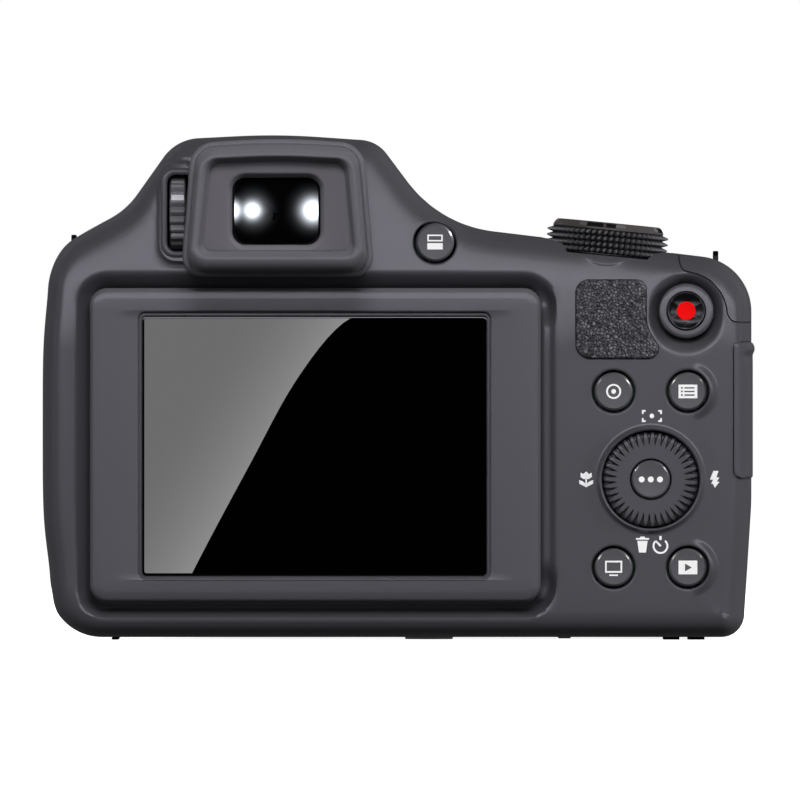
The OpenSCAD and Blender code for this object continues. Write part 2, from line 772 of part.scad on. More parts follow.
module screen_module() {
    color(soft_black) slab(screen_x, inner_back + loose_gap, screen_z, screen_w + 3, screen_h + 3, 0.8,
        3.5);
}

module eyecup() {
    color(soft_black) tube_skin([
        eyecup_ring(eyecup_foot, 0),
        eyecup_ring(eyecup_back + 3.4, 0.3),
        each [for (a = [30, 60, 90]) eyecup_ring(eyecup_back + 3.4 - 3.4 * sin(a),
            0.3 + 2.6 * (1 - cos(a)))],
        recess_ring(eyecup_back, 0),
        recess_ring(eyecup_back + 0.5, 0.5),
        recess_ring(recess_floor, 1.3),
        recess_ring(eyecup_foot, 1.3)]);
}

module eyepiece_frame() {
    w = recess_w - 2.6 - 2 * seat_gap;
    h = recess_h - 2.6 - 2 * seat_gap;
    color(soft_black) difference() {
        slab(recess_x, recess_floor, eyepiece_z, w, h, 4.4, eyecup_foot - recess_floor);
        slab(recess_x, recess_floor - 1, eyepiece_z, eyepiece_w, eyepiece_h, 3.4, 20);
    }
}

module eyepiece_lens() {
    r = 40;
    y = recess_floor + 0.8;
    color(glass_tint) intersection() {
        slab(recess_x, y, eyepiece_z, eyepiece_w - 2 * seat_gap, eyepiece_h - 2 * seat_gap, 3.3, 3.2);
        translate([recess_x, y + r, eyepiece_z]) sphere(r, $fn = 240);
    }
}

module evf_housing() {
    color(soft_black) difference() {
        union() {
            slab(hump_x, evf_back, eyepiece_z, evf_flange_w, evf_flange_h, evf_flange_r, evf_flange_t);
            span([hump_x - evf_half, evf_back + evf_flange_t, evf_low],
                [hump_x + evf_half, evf_front, evf_high]);
            rod_x(dioptre_x + dioptre_wash, dioptre_y, dioptre_z, dioptre_boss_r,
                hump_x - evf_half - dioptre_x - dioptre_wash);
        }
        slab(recess_x, evf_back - 1, eyepiece_z, eyepiece_w - 1, eyepiece_h - 1, 2, 3);
        span([hump_x - evf_half + 1, evf_back + evf_flange_t, evf_low + 1],
            [hump_x + evf_half - 1, evf_front + 1, evf_high - 1]);
        rod_x(dioptre_x, dioptre_y, dioptre_z, dioptre_shaft_r + run_gap, 8);
    }
}

module evf_display() {
    color(glass_tint) span([hump_x - evf_half + 1.1, evf_front - 2.5, evf_low + 1.1],
        [hump_x + evf_half - 1.1, evf_front - 0.1, evf_high - 1.1]);
}

module dioptre_wheel() {
    r = dioptre_d / 2;
    color(soft_black) union() {
        translate([dioptre_x - dioptre_t / 2, dioptre_y, dioptre_z]) rotate([0, 90,
            0]) linear_extrude(dioptre_t)
            polygon([for (k = [0:47]) let (a = k * 7.5, q = r - (k % 2) * 0.45) [q * cos(a), q * sin(a)]]);
        rod_x(dioptre_x, dioptre_y, dioptre_z, dioptre_shaft_r, 6.5);
    }
}

// One strap lug: a pressed plate with a slot, standing along Y
module strap_lug(at) {
    translate([at[0] - lug_t / 2, at[1], at[2]]) rotate([90, 0, 90]) linear_extrude(lug_t) difference() {
        union() {
            translate([0, -3.6]) square([8.6, 7.8], center = true);
            for (s = [-1, 1]) translate([s * 3.1, 0.3]) circle(1.2);
            translate([0, 0.25]) square([6.2, 2.5], center = true);
        }
        square([lug_slot_w, lug_slot_h], center = true);
    }
}

module strap_lugs() {
    color(steel) {
        strap_lug(lug_right);
        strap_lug(lug_left);
    }
}

module tripod_bush() {
    color(steel) difference() {
        union() {
            translate([0, 0, base_z + wall + 0.05]) cylinder(r = 6.5, h = 2.2);
            cylinder(r = 4.2, h = socket_depth + 1.5);
        }
        translate([0, 0, -1]) cylinder(r = socket_r, h = socket_depth + 1);
    }
}

module feet() {
    rear = back_y + 9;
    color(soft_black) {
        span([body_left + 12.1, rear, 0], [body_left + 13.3, rear + 25, foot_h]);
        span([body_right - 15.5, rear, 0], [body_right - 12.6, rear + 6, foot_h]);
        span([body_right - 11.2, rear, 0], [body_right - 8.2, rear + 6, foot_h]);
        span([grip_side_x + 2.8, front_y - 6, 0], [grip_side_x + 5, front_y + 10, foot_h]);
    }
}

module case_screws() {
    color(steel) for (x = screw_places) translate([x, screw_y, base_z + 0.1]) difference() {
        union() {
            cylinder(r = screw_head_r, h = 0.8);
            cylinder(r = screw_r, h = 5);
        }
        translate([0, 0, -0.5]) for (a = [0, 90]) rotate([0, 0, a]) cube([1.8, 0.4, 1.6], center = true);
    }
}

// Where the chassis posts and stand-offs sit
post_places = [[lens_x - 22, lens_z - 20], [lens_x + 22, lens_z - 20], [lens_x - 22, lens_z + 20],
    [lens_x + 22, lens_z + 20]];
chassis_y = back_y + 10.5;
chassis_t = 0.8;
main_y = back_y + 8;
main_t = 1.4;
board_left = body_left + 7.7;
board_right = grip_side_x - 2;
board_low = base_z + 6.55;
board_high = left_shoulder - 5.4;
module chassis() {
    color(steel) difference() {
        union() {
            span([board_left + 2, chassis_y, board_low - 1],
                [board_right - 1, chassis_y + chassis_t, board_high + 2]);
            for (p = post_places) rod_y(p[0], chassis_y + 0.4, p[1], 1.8, housing_back - chassis_y - 0.4);
            for (p = post_places) rod_y(p[0], main_y + main_t, p[1],
                1.8, chassis_y - main_y - main_t + 0.4);
            for (x = screw_places) span([x - 3, chassis_y + 0.1, base_z + 3],
                [x + 3, split_y - 0.4, base_z + 6.5]);
        }
        for (x = screw_places) translate([x, screw_y, 0]) cylinder(r = screw_r + 0.05, h = 6);
    }
}

module main_board() {
    color(board_green) union() {
        span([board_left, main_y, board_low], [board_right, main_y + main_t, board_high]);
        span([evf_key_at[0] - 4.05, main_y, board_high - 1],
            [evf_key_at[0] + 1.6, main_y + main_t, evf_key_at[1] + 0.9]);
        span([lens_x - 13.4, main_y + main_t - 0.1, 22], [lens_x - 1.4, main_y + main_t + 0.9, 34]);
        span([lens_x + 12.6, main_y + main_t - 0.1, 24], [lens_x + 23.6, main_y + main_t + 0.9, 33]);
    }
}

module key_board() {
    color(board_green) difference() {
        span([cluster_x - 14.8, board_y, keys_z - 22.1],
            [body_right - wall - 1.6, board_y + board_t, keys_z + 32.9]);
        rod_y(cluster_x, board_y - 1, keys_z + 22, 1, 4);
    }
}

module battery_bay() {
    bay_right = battery_x + battery_t + 2 * loose_gap + bay_wall + card_t + 0.6;
    color(soft_black) difference() {
        span([battery_x - loose_gap - bay_wall, battery_y - loose_gap - bay_wall, bay_low],
            [bay_right + bay_wall, battery_y + battery_d + loose_gap + bay_wall,
                bay_low + battery_h + 1.6]);
        span([battery_x - loose_gap, battery_y - loose_gap, bay_low - 1],
            [battery_x + battery_t + loose_gap, battery_y + battery_d + loose_gap,
                bay_low + battery_h + 0.4]);
        span([bay_right - card_t - 0.4, battery_y + 6, bay_low - 1],
            [bay_right, battery_y + 31, bay_low + 33]);
    }
}

module battery() {
    color(key_grey) span([battery_x, battery_y, bay_low + 0.2],
        [battery_x + battery_t, battery_y + battery_d, bay_low + 0.2 + battery_h]);
}

module memory_card() {
    x = battery_x + battery_t + 2 * loose_gap + bay_wall + 0.4;
    color([0.1, 0.15, 0.35]) span([x, battery_y + 6.5, bay_low + 0.6],
        [x + card_t, battery_y + 30.5, bay_low + 32.6]);
}

module battery_door() {
    color(shell_grey) difference() {
        union() {
            span([door_left, door_back, base_z], [door_right, door_front, base_z + door_t]);
            rod_y(door_left, door_back, door_axis_z, 1, door_front - door_back);
        }
        rod_y(door_left, door_back - 1, door_axis_z, door_pin_r + run_gap, door_front - door_back + 2);
        span([door_right - 9, latch_y - 1.2, base_z - 1], [door_right - 4, latch_y + 9.8, base_z + 1.2]);
    }
}

module battery_door_pin() {
    color(steel) rod_y(door_left, door_back - 1.8, door_axis_z, door_pin_r, door_front - door_back + 3.6);
}

module battery_latch() {
    color(soft_black) union() {
        span([door_right - 8.7, latch_y, base_z + 0.1], [door_right - 4.3, latch_y + 6.6, base_z + 1.1]);
        for (y = [1.3, 3.3, 5.3]) rod_x(door_right - 8.2, latch_y + y, base_z + 0.25, 0.25, 3.4);
    }
}

module port_sockets() {
    color(steel) difference() {
        span([body_right - 13.5, port_back, port_low + 1.65],
            [body_right - 3.3, port_back + 6.2, port_high - 2.15]);
        span([body_right - 11.5, port_back + 1.2, port_low + 4.65],
            [body_right, port_back + 4.4, port_low + 12.95]);
        span([body_right - 11.5, port_back + 1.2, port_low + 15.05],
            [body_right, port_back + 4, port_low + 19.65]);
    }
}

module port_cover() {
    color(soft_black) union() {
        edge_patch([[body_right, port_low, 1, 0], [body_right, port_high, 1, 0]],
            port_steps, port_proud, port_t);
        span([port_axis_x - 0.6, port_axis_y - 1.6, port_low], [port_axis_x + 0.4, port_axis_y, port_high]);
        translate([port_axis_x, port_axis_y, port_low]) cylinder(r = port_bead_r, h = port_high - port_low);
    }
}

// A plain lens tube along the lens axis
module lens_tube(y0, y1, r_out, r_in) {
    difference() {
        rod_y(lens_x, y0, lens_z, r_out, y1 - y0);
        rod_y(lens_x, y0 - 1, lens_z, r_in, y1 - y0 + 2);
    }
}

module lens_housing() {
    color(soft_black) difference() {
        rod_y(lens_x, housing_back, lens_z, neck_r, neck_back - housing_back);
        rod_y(lens_x, housing_back + 2, lens_z, inner_r, neck_back);
        rod_y(lens_x, housing_back - 1, lens_z, 8, 6);
    }
}

module lens_fixed_barrel() {
    color(soft_black) difference() {
        union() {
            lens_tube(neck_back, barrel_back + 1, neck_r, inner_r);
            lens_tube(barrel_back, barrel_front, barrel_r, inner_r);
        }
        lens_tube(ring_back, ring_front, barrel_r + 2, barrel_r - 1);
    }
}

module lens_grip_ring() {
    color(soft_black) translate([lens_x, ring_back + seat_gap, lens_z]) rotate([-90, 0, 0])
        linear_extrude(ring_front - ring_back - 2 * seat_gap) difference() {
        polygon([for (k = [0:2 * ring_ribs - 1]) let (a = 180 * k / ring_ribs,
            q = barrel_r + (k % 2 == 0 ? rib_rise : 0.2))
            [q * cos(a), q * sin(a)]]);
        circle(barrel_r - 0.95, $fn = 128);
    }
}

module lens_middle_barrel() {
    color(soft_black) lens_tube(housing_back + 4, lens_front - 10, middle_r, middle_r - tube_wall);
}

module lens_front_barrel() {
    color(soft_black) union() {
        lens_tube(housing_back + 6, lens_front, front_r, front_r - tube_wall);
        lens_tube(lens_front - 4.2, lens_front - 1.2, front_r - 0.5, glass_r - 1);
        lens_tube(lens_front - 12, lens_front - 4, front_r - 0.5, glass_r + 0.1);
    }
}

module front_element() {
    r = 60;
    y = lens_front - 4.2;
    color(glass_tint) intersection() {
        rod_y(lens_x, y - 7, lens_z, glass_r, 7);
        translate([lens_x, y - r, lens_z]) sphere(r, $fn = 240);
    }
}

module rear_element() {
    color(glass_tint) rod_y(lens_x, housing_back + 2, lens_z, 9, 3.5);
}

module image_sensor() {
    color(board_green) union() {
        span([lens_x - 13, housing_back - 3.2, lens_z - 11], [lens_x + 13, housing_back - 2, lens_z + 11]);
        span([lens_x - 9, housing_back - 2.1, lens_z - 8.5], [lens_x + 9, housing_back, lens_z + 8.5]);
    }
}

motor_r = 4;
motor_x = grip_side_x - 8.6;
motor_z = base_z + wall + motor_r + 0.05;
module zoom_motor() {
    color(steel) union() {
        rod_y(motor_x, housing_back + 4, motor_z, motor_r, 14);
        rod_y(motor_x, housing_back + 17.9, motor_z, 1.2, 3);
    }
}

module flash_head() {
    color(shell_grey) difference() {
        union() {
            intersection() {
                front_form();
                span([hump_x - flash_half, flash_rear, flash_low], [hump_x + flash_half, front_y + 5, 120]);
            }
            rod_x(hump_x - flash_half, flash_axis_y, flash_axis_z, flash_barrel_r, 2 * flash_half);
            span([hump_x - flash_half, flash_axis_y, flash_axis_z - flash_barrel_r],
                [hump_x + flash_half, flash_rear + 1, flash_axis_z + 0.4]);
        }
        span([hump_x - flash_half + 1.6, flash_rear + 2, flash_low - 1],
            [hump_x + flash_half - 1.6, front_y - 4, flash_low + 4.4]);
        span([hump_x - 10, front_y - 1.5, flash_low + 0.9], [hump_x + 10, front_y + 1, flash_low + 5]);
        rod_x(hump_x - flash_half - 1, flash_axis_y, flash_axis_z, flash_pin_r + run_gap,
            2 * flash_half + 2);
    }
}

module flash_window() {
    color([0.85, 0.87, 0.9]) span([hump_x - 10 + seat_gap, front_y - 1.5, flash_low + 0.9 + seat_gap],
        [hump_x + 10 - seat_gap, front_y, flash_low + 5 - seat_gap]);
}

module flash_hinge_pin() {
    color(steel) rod_x(hump_x - flash_half - 1.9, flash_axis_y, flash_axis_z, flash_pin_r,
        2 * flash_half + 3.8);
}

module dial_base() {
    color(soft_black) at_dial() difference() {
        translate([0, 0, -2.2]) cylinder(r = dial_pocket_r - 0.15, h = 1.8);
        translate([0, 0, -4]) cylinder(r = dial_shaft_r + run_gap, h = 6);
    }
}

// The knurled rim: rows of pyramids, their peaks where both counts are odd
module mode_dial() {
    n = 2 * knurl_count;
    rows = 6;
    ring = function (j) [for (k = [0:n - 1]) let (a = -180 * k / knurl_count,
        q = dial_r - (j % 2 == 1 && k % 2 == 1 ? 0 : 0.55)) [q * cos(a), q * sin(a),
            j * dial_knurl_h / rows]];
    color(soft_black) at_dial() union() {
        skin([for (j = [0:rows]) ring(j)], [0, 0, 0], [0, 0, dial_knurl_h]);
        translate([0, 0, -3.4]) cylinder(r = dial_shaft_r, h = 4);
    }
}

module mode_dial_cap() {
    color(shell_grey) at_dial() translate([0, 0, dial_knurl_h]) rotate_extrude()
        polygon([[0, 0], [dial_r - 0.9, 0], [dial_r - 1.1, 0.9], [dial_r - 1.7, dial_cap_h],
            [dial_r - 2.6, dial_cap_h], [dial_r - 2.9, dial_cap_h - 0.25], [0, dial_cap_h - 0.25]]);
}

module shutter_button() {
    color(key_grey) at_shutter() union() {
        intersection() {
            translate([0, 0, 0.5]) cylinder(r = shutter_d / 2, h = 3.4);
            translate([0, 0, 3.2 - 40]) sphere(40, $fn = 240);
        }
        translate([0, 0, -5]) cylinder(r = 4, h = 6);
    }
}

module zoom_lever() {
    color(key_grey) at_shutter() difference() {
        union() {
            translate([0, 0, 0.3]) cylinder(r = lever_r, h = lever_h);
            translate([0, 0, -0.6]) cylinder(r = 6, h = 1.2);
            translate([-2.2, lever_r - 2, 0.3]) cube([4.4, 4.2, lever_h + 0.6]);
        }
        translate([0, 0, -2]) cylinder(r = shutter_d / 2 + loose_gap, h = 8);
    }
}

module power_button() {
    color(key_grey) translate([power_x, power_y, power_z]) union() {
        translate([0, 0, -power_long]) cylinder(r = power_d / 2, h = power_long + power_proud);
        translate([0, 0, -power_long - 0.4]) cylinder(r = power_d / 2 + 0.9, h = key_flange_t);
    }
}

// A round key: a cap through the cover, a flange behind it and a stem towards the board
module round_key(at, shift, r, stop) {
    color(key_grey) union() {
        rod_y(at[0], back_y - key_proud + shift, at[1], r, wall + key_proud + 0.4);
        rod_y(at[0], inner_back + seat_gap + shift, at[1], key_d / 2 + key_flange, key_flange_t);
        rod_y(at[0], inner_back + key_flange_t + shift, at[1], key_stem_r,
            stop - key_travel - seat_gap - inner_back - key_flange_t - shift);
    }
}

module info_button() {
    round_key(info_at, 0, key_d / 2, board_y);
}
module menu_button() {
    round_key(menu_at, 0, key_d / 2, board_y);
}
module display_button() {
    round_key(display_at, 0, key_d / 2, board_y);
}
module playback_button() {
    round_key(playback_at, 0, key_d / 2, board_y);
}
// The viewfinder key sits close to the edge, so a tab below it holds it in place of a flange
module evf_button() {
    x = evf_key_at[0];
    z = evf_key_at[1];
    face = back_y - key_proud + evf_key_lean;
    tab_y = inner_back + evf_tab_gap;
    color(key_grey) union() {
        rod_y(x, face, z, key_d / 2, evf_key_long);
        span([x - evf_tab_half, tab_y, z - key_d / 2 - evf_tab_drop],
            [x + evf_tab_half, tab_y + key_flange_t, z]);
        rod_y(x, face + evf_key_long - 0.2, z, key_stem_r,
            main_y - key_travel - seat_gap - face - evf_key_long + 0.2);
    }
}
module record_button() {
    color([0.6, 0.1, 0.1]) difference() {
        round_key(record_at, 0.1, 3, board_y);
        translate([record_at[0], back_y - 11.6, record_at[1]]) sphere(12, $fn = 96);
    }
}
module set_button() {
    color(key_grey) union() {
        rod_y(cluster_x, back_y - 0.5, keys_z, set_d / 2, 3);
        rod_y(cluster_x, back_y + 2.4, keys_z, 2.2, board_y - key_travel - 0.1 - back_y - 2.4);
    }
}

module nav_ring() {
    color(key_grey) union() {
        difference() {
            rod_y(cluster_x, back_y - 0.3, keys_z, nav_d / 2, nav_back - back_y + 0.3);
            rod_y(cluster_x, back_y - 2, keys_z, set_d / 2 + 0.35, 8);
        }
        for (s = [-1, 1]) translate([cluster_x, nav_back, keys_z + s * 6.2 - 1.2]) cylinder(r = 0.6,
            h = 2.4);
    }
}

module nav_pad() {
    color(soft_black) difference() {
        union() {
            rod_y(cluster_x, pad_y, keys_z, nav_hole_r + 0.4, 0.9);
            for (s = [-1, 1]) {
                span([cluster_x - 1.3, nav_back + 0.05, keys_z + s * 6.2 - 1.1],
                    [cluster_x + 1.3, pad_y + 0.2, keys_z + s * 6.2 + 1.1]);
            }
            rod_x(cluster_x - 10.4, pad_axis_y, keys_z, 0.7, 20.8);
        }
        rod_y(cluster_x, pad_y - 2, keys_z, 4.2, 6);
        for (s = [-1, 1]) translate([cluster_x, nav_back, keys_z + s * 6.2 - 1.5]) cylinder(r = 0.65,
            h = 3);
    }
}

rear_cover();
front_cover();
top_cover();
control_deck();
grip_shell();
grip_rubber();
shoulder_trim();
thumb_pad();
screen_bezel();
screen_window();
screen_module();
eyecup();
eyepiece_frame();
eyepiece_lens();
evf_housing();
evf_display();
dioptre_wheel();
strap_lugs();
tripod_bush();
feet();
case_screws();
chassis();
main_board();
key_board();
battery_bay();
battery();
memory_card();
battery_door();
battery_door_pin();
battery_latch();
port_sockets();
port_cover();
lens_housing();
lens_fixed_barrel();
lens_grip_ring();
lens_middle_barrel();
lens_front_barrel();
front_element();
rear_element();
image_sensor();
zoom_motor();
flash_head();
flash_window();
flash_hinge_pin();
dial_base();
mode_dial();
mode_dial_cap();
shutter_button();
zoom_lever();
power_button();
record_button();
info_button();
menu_button();
display_button();
playback_button();
evf_button();
set_button();
nav_ring();
nav_pad();
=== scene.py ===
"""Bridge camera: the looks of every piece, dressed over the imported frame."""

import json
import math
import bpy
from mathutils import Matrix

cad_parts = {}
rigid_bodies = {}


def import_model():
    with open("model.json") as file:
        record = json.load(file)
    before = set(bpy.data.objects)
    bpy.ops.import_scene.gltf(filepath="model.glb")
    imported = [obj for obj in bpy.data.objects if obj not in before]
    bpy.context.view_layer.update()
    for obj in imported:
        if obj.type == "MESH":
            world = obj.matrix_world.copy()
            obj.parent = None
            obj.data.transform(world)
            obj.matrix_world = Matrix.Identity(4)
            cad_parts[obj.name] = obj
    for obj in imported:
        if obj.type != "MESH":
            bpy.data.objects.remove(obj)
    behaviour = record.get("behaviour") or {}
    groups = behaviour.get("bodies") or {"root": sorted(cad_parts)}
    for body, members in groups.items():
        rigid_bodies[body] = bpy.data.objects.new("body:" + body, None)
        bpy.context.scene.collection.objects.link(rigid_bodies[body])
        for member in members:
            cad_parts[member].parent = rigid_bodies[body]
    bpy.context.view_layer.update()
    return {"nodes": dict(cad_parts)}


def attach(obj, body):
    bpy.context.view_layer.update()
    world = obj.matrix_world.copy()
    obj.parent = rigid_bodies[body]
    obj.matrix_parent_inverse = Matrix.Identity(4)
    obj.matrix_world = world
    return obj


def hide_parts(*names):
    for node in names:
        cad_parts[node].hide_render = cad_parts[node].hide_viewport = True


bl_info = {
    "name": "Bridge camera",
    "version": (1, 0, 0),
    "blender": (4, 5, 0),
    "location": "View3D > Sidebar > Camera",
    "description": "Models the covers, controls, viewfinder and lens of a bridge camera",
    "category": "Add Mesh",
}

import bpy
import numpy as np
from bpy.props import FloatProperty, FloatVectorProperty, IntProperty, PointerProperty
from mathutils import Matrix, Vector
from mathutils.geometry import delaunay_2d_cdt

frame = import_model()

MM = 0.001
# Points nearer than this, in millimetres, are one point
DOUBLES = 0.0005
BODY = "camera_body"

# Planes of the body, in millimetres, as the solids have them
LEFT, RIGHT = -67.7, 56.5
BASE, BACK, SPLIT = 0.45, -24.0, -8.0
LENS_X, LENS_Z = -26.6, 37.5
# Thickness of the covers
WALL = 2.0
# The rounded edge of the back: where it starts, how deep it goes and how it swells
EDGE_INSET, EDGE_DEPTH, EDGE_POWER = 4.5, 8.0, 1.8

# Middles of the controls on the back, as (x, z)
SCREEN = (-19.9, 34.1)
KEYS = {"info": (32.3, 43.5), "menu": (45.3, 43.5), "display": (32.3, 12.7), "playback": (45.3, 12.7)}
EVF_KEY = (1.05, 69.6)
NAV = (38.8, 28.1)
RECORD = (45.0, 57.6)
EYEPIECE = (-26.7, 75.0)
KEY_HOLE, NAV_HOLE = 3.75, 8.6
# Radius of the round keys, and the depths of the keys' faces
KEY_RADIUS = 3.34
KEY_FACE, EVF_FACE, SET_FACE, RING_FACE, RECORD_FACE = -24.35, -23.4, -24.5, -24.3, -24.5

# The body's outline from behind: corners as (x, z, radius)
OUTLINE = [
    (LEFT, BASE, 10.5), (55, BASE, 4), (RIGHT, 23.95, 60), (RIGHT, 66.1, 9.7), (1.9, 72.7, 22),
    (-9.1, 87.4, 6), (LENS_X, 88.6, 120), (-44.3, 87.7, 8), (-53, 75.4, 14), (LEFT, 67.4, 10),
]
# The seam of the shoulder trim, from the top edge round the record key to the side
SEAM = [(43.7, 67.6), (43.9, 66.0), (44.5, 64.8), (45.9, 64.3), (47.1, 64.0), (49.3, 62.8), (51.1, 60.7),
        (52.0, 58.5), (52.2, 57.2), (52.8, 56.1), (53.8, 55.65), (56.5, 55.6)]
PAD = [(25.7, 49.2, 2.6), (41.4, 49.2, 1.7), (38.0, 54.9, 5), (38.0, 63, 1.7), (25.7, 63, 2.3)]
PORT = (28.35, 52.15)
DIAL_AT, DIAL_LEAN = (31.0, -9.5, 67.15), math.radians(5.5)
# The middle of the dioptre wheel
DIOPTRE = (-44.45, -18.0, 75.0)
# The eyecup's outline at its foot, and the outline of the eyepiece's flat face
CUP_OUTLINE = [
    (-43.5, 63.5, 3.6), (-9.5, 63.5, 3.6), (-11.5, 86.9, 4.6), (-26.6, 87.9, 120), (-41.6, 86.9, 4.6),
]
FACE_OUTLINE = [
    (-39.7, 68.0, 1.5), (-13.6, 68.0, 1.5), (-15.0, 83.2, 1.7), (-26.6, 83.7, 120), (-38.1, 83.2, 1.7),
]
# What the camera looks straight at, as (x, z)
VIEW_AT = (-5.08, 42.0)
# The picture, 800 by 800: the pixel that shows the origin, and a pixel's width at the back
ORIGIN_PIXEL, PIXEL = (429, 640), 0.175
# Pixels along the edge of the pale wall that the screen mirrors
WALL_EDGE = [(392, 306), (343, 323), (295, 382), (250, 464), (206, 546), (176, 605)]


def linear(code):
    """Linear colour of an sRGB hex code."""
    parts = [int(code[i:i + 2], 16) / 255 for i in (1, 3, 5)]
    return tuple(c / 12.92 if c <= 0.04045 else ((c + 0.055) / 1.055) ** 2.4 for c in parts)


class CameraSizes(bpy.types.PropertyGroup):
    """Sizes that a maker would change."""

    trough: FloatProperty(name="Trough depth", description="Depth of the channel round the screen frame",
                          default=0.0023, unit="LENGTH")
    screen_round: FloatProperty(name="Frame edge", description="Rounding of the screen frame's edge",
                                default=0.0009, unit="LENGTH")
    nav_grooves: IntProperty(name="Ring grooves", description="Grooves round the four-way ring", default=39)
    knurl: IntProperty(name="Dial knurl", description="Pyramids round one row of the mode dial", default=60)
    pad_grain: FloatProperty(name="Pad grain", description="Size of one grain of the thumb rest",
                             default=0.00046, unit="LENGTH")
    view: FloatProperty(name="View distance", description="From the back face to the camera that looks at it",
                        default=6.0, unit="LENGTH")
    view_width: FloatProperty(name="View width", description="Width of the picture at the back face",
                              default=0.140, unit="LENGTH")


def colour(name, text, code):
    """A colour property with a hex default."""
    return FloatVectorProperty(name=name, description=text, subtype="COLOR", size=3, default=linear(code))


class CameraColours(bpy.types.PropertyGroup):
    """Colours of the finishes."""

    shell: colour("Covers", "Moulded covers", "#525157")
    key: colour("Keys", "Satin keys", "#5a595e")
    cup: colour("Eyecup", "Rubber of the eyecup", "#605f65")
    pad: colour("Pads", "Rubber of the thumb rest and grip", "#626167")
    dial: colour("Dial", "Knurled rim of the dial", "#76767b")
    black: colour("Black", "Inner and lens plastic", "#1b1b1d")
    ink: colour("Ink", "Printed marks", "#ffffff")
    red: colour("Red", "Record dot", "#f70302")


def sizes():
    """The sizes in the sidebar."""
    return bpy.context.scene.camera_sizes


def colours():
    """The colours in the sidebar."""
    return bpy.context.scene.camera_colours


# Modelling


def pick(*objs):
    """Leaves only these objects selected, in object mode."""
    if bpy.context.object and bpy.context.object.mode != "OBJECT":
        bpy.ops.object.mode_set(mode="OBJECT")
    bpy.ops.object.select_all(action="DESELECT")
    for obj in objs:
        obj.select_set(True)
    bpy.context.view_layer.objects.active = objs[0]
    return objs[0]


def mesh_piece(name, verts, faces=(), edges=()):
    """A new object from points in millimetres."""
    mesh = bpy.data.meshes.new(name)
    mesh.from_pydata([(x * MM, y * MM, z * MM) for x, y, z in verts], list(edges), list(faces))
    mesh.validate()
    obj = bpy.data.objects.new(name, mesh)
    bpy.context.scene.collection.objects.link(obj)
    return pick(obj)


def clean(obj):
    """Merges doubles and points the faces outwards."""
    pick(obj)
    bpy.ops.object.mode_set(mode="EDIT")
    bpy.ops.mesh.select_all(action="SELECT")
    bpy.ops.mesh.remove_doubles(threshold=DOUBLES * MM)
    bpy.ops.mesh.normals_make_consistent(inside=False)
    bpy.ops.object.mode_set(mode="OBJECT")
    return obj


def modify(obj, kind, **settings):
    """Adds a modifier and applies it."""
    pick(obj)
    mod = obj.modifiers.new(kind.title(), kind)
    for key, value in settings.items():
        setattr(mod, key, value)
    bpy.ops.object.modifier_apply(modifier=mod.name)
    return obj


def carve(obj, cutter, operation="DIFFERENCE"):
    """Cuts a closed piece with another, which is used up."""
    modify(obj, "BOOLEAN", object=cutter, operation=operation, solver="MANIFOLD")
    bpy.data.objects.remove(cutter)
    return obj


def soften(obj, width):
    """Rounds the sharp edges."""
    return modify(obj, "BEVEL", width=width * MM, segments=2, limit_method="ANGLE",
                  angle_limit=math.radians(35), harden_normals=False)


def turned(name, profile, origin, axis=(0, 1, 0), steps=96):
    """A profile of (radius, height) points spun about an axis through origin."""
    along = Vector(axis).normalized()
    side = along.orthogonal().normalized()
    place = Vector(origin)
    points = [place + side * r + along * h for r, h in profile]
    obj = mesh_piece(name, points, edges=[(i, i + 1) for i in range(len(points) - 1)])
    bpy.ops.object.mode_set(mode="EDIT")
    bpy.ops.mesh.select_all(action="SELECT")
    bpy.ops.mesh.spin(steps=steps, angle=2 * math.pi, center=place * MM, axis=along)
    bpy.ops.object.mode_set(mode="OBJECT")
    return clean(obj)


def lofted(name, rings, closed=False):
    """A skin over rings of points, capped at both ends or joined round."""
    n = len(rings[0])
    verts = [p for ring in rings for p in ring]
    count = len(rings)
    faces = []
    for i in range(count if closed else count - 1):
        j = (i + 1) % count
        for k in range(n):
            m = (k + 1) % n
            faces.append((i * n + k, i * n + m, j * n + m, j * n + k))
    if not closed:
        faces.append(tuple(range(n - 1, -1, -1)))
        faces.append(tuple((count - 1) * n + k for k in range(n)))
    return clean(mesh_piece(name, verts, faces))


def node_copy(node, width):
    """A copy of an exact solid with its edges rounded as a mould or press leaves them."""
    obj = bpy.data.objects.new(node + "_piece", frame["nodes"][node].data.copy())
    bpy.context.scene.collection.objects.link(obj)
    obj.data.materials.clear()
    pick(obj)
    bpy.ops.object.mode_set(mode="EDIT")
    bpy.ops.mesh.select_all(action="SELECT")
    bpy.ops.mesh.remove_doubles(threshold=0.002 * MM)
    bpy.ops.mesh.dissolve_limited(angle_limit=math.radians(1))
    bpy.ops.object.mode_set(mode="OBJECT")
    return soften(obj, width)


def dress(obj, material, body=BODY, nodes=(), angle=30):
    """Finishes a piece: smooth shading, its material, its body and the solids it stands for."""
    pick(obj)
    bpy.ops.object.shade_smooth_by_angle(angle=math.radians(angle))
    obj.data.materials.clear()
    obj.data.materials.append(material)
    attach(obj, body)
    if nodes:
        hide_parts(*nodes)
    return obj


# Outlines


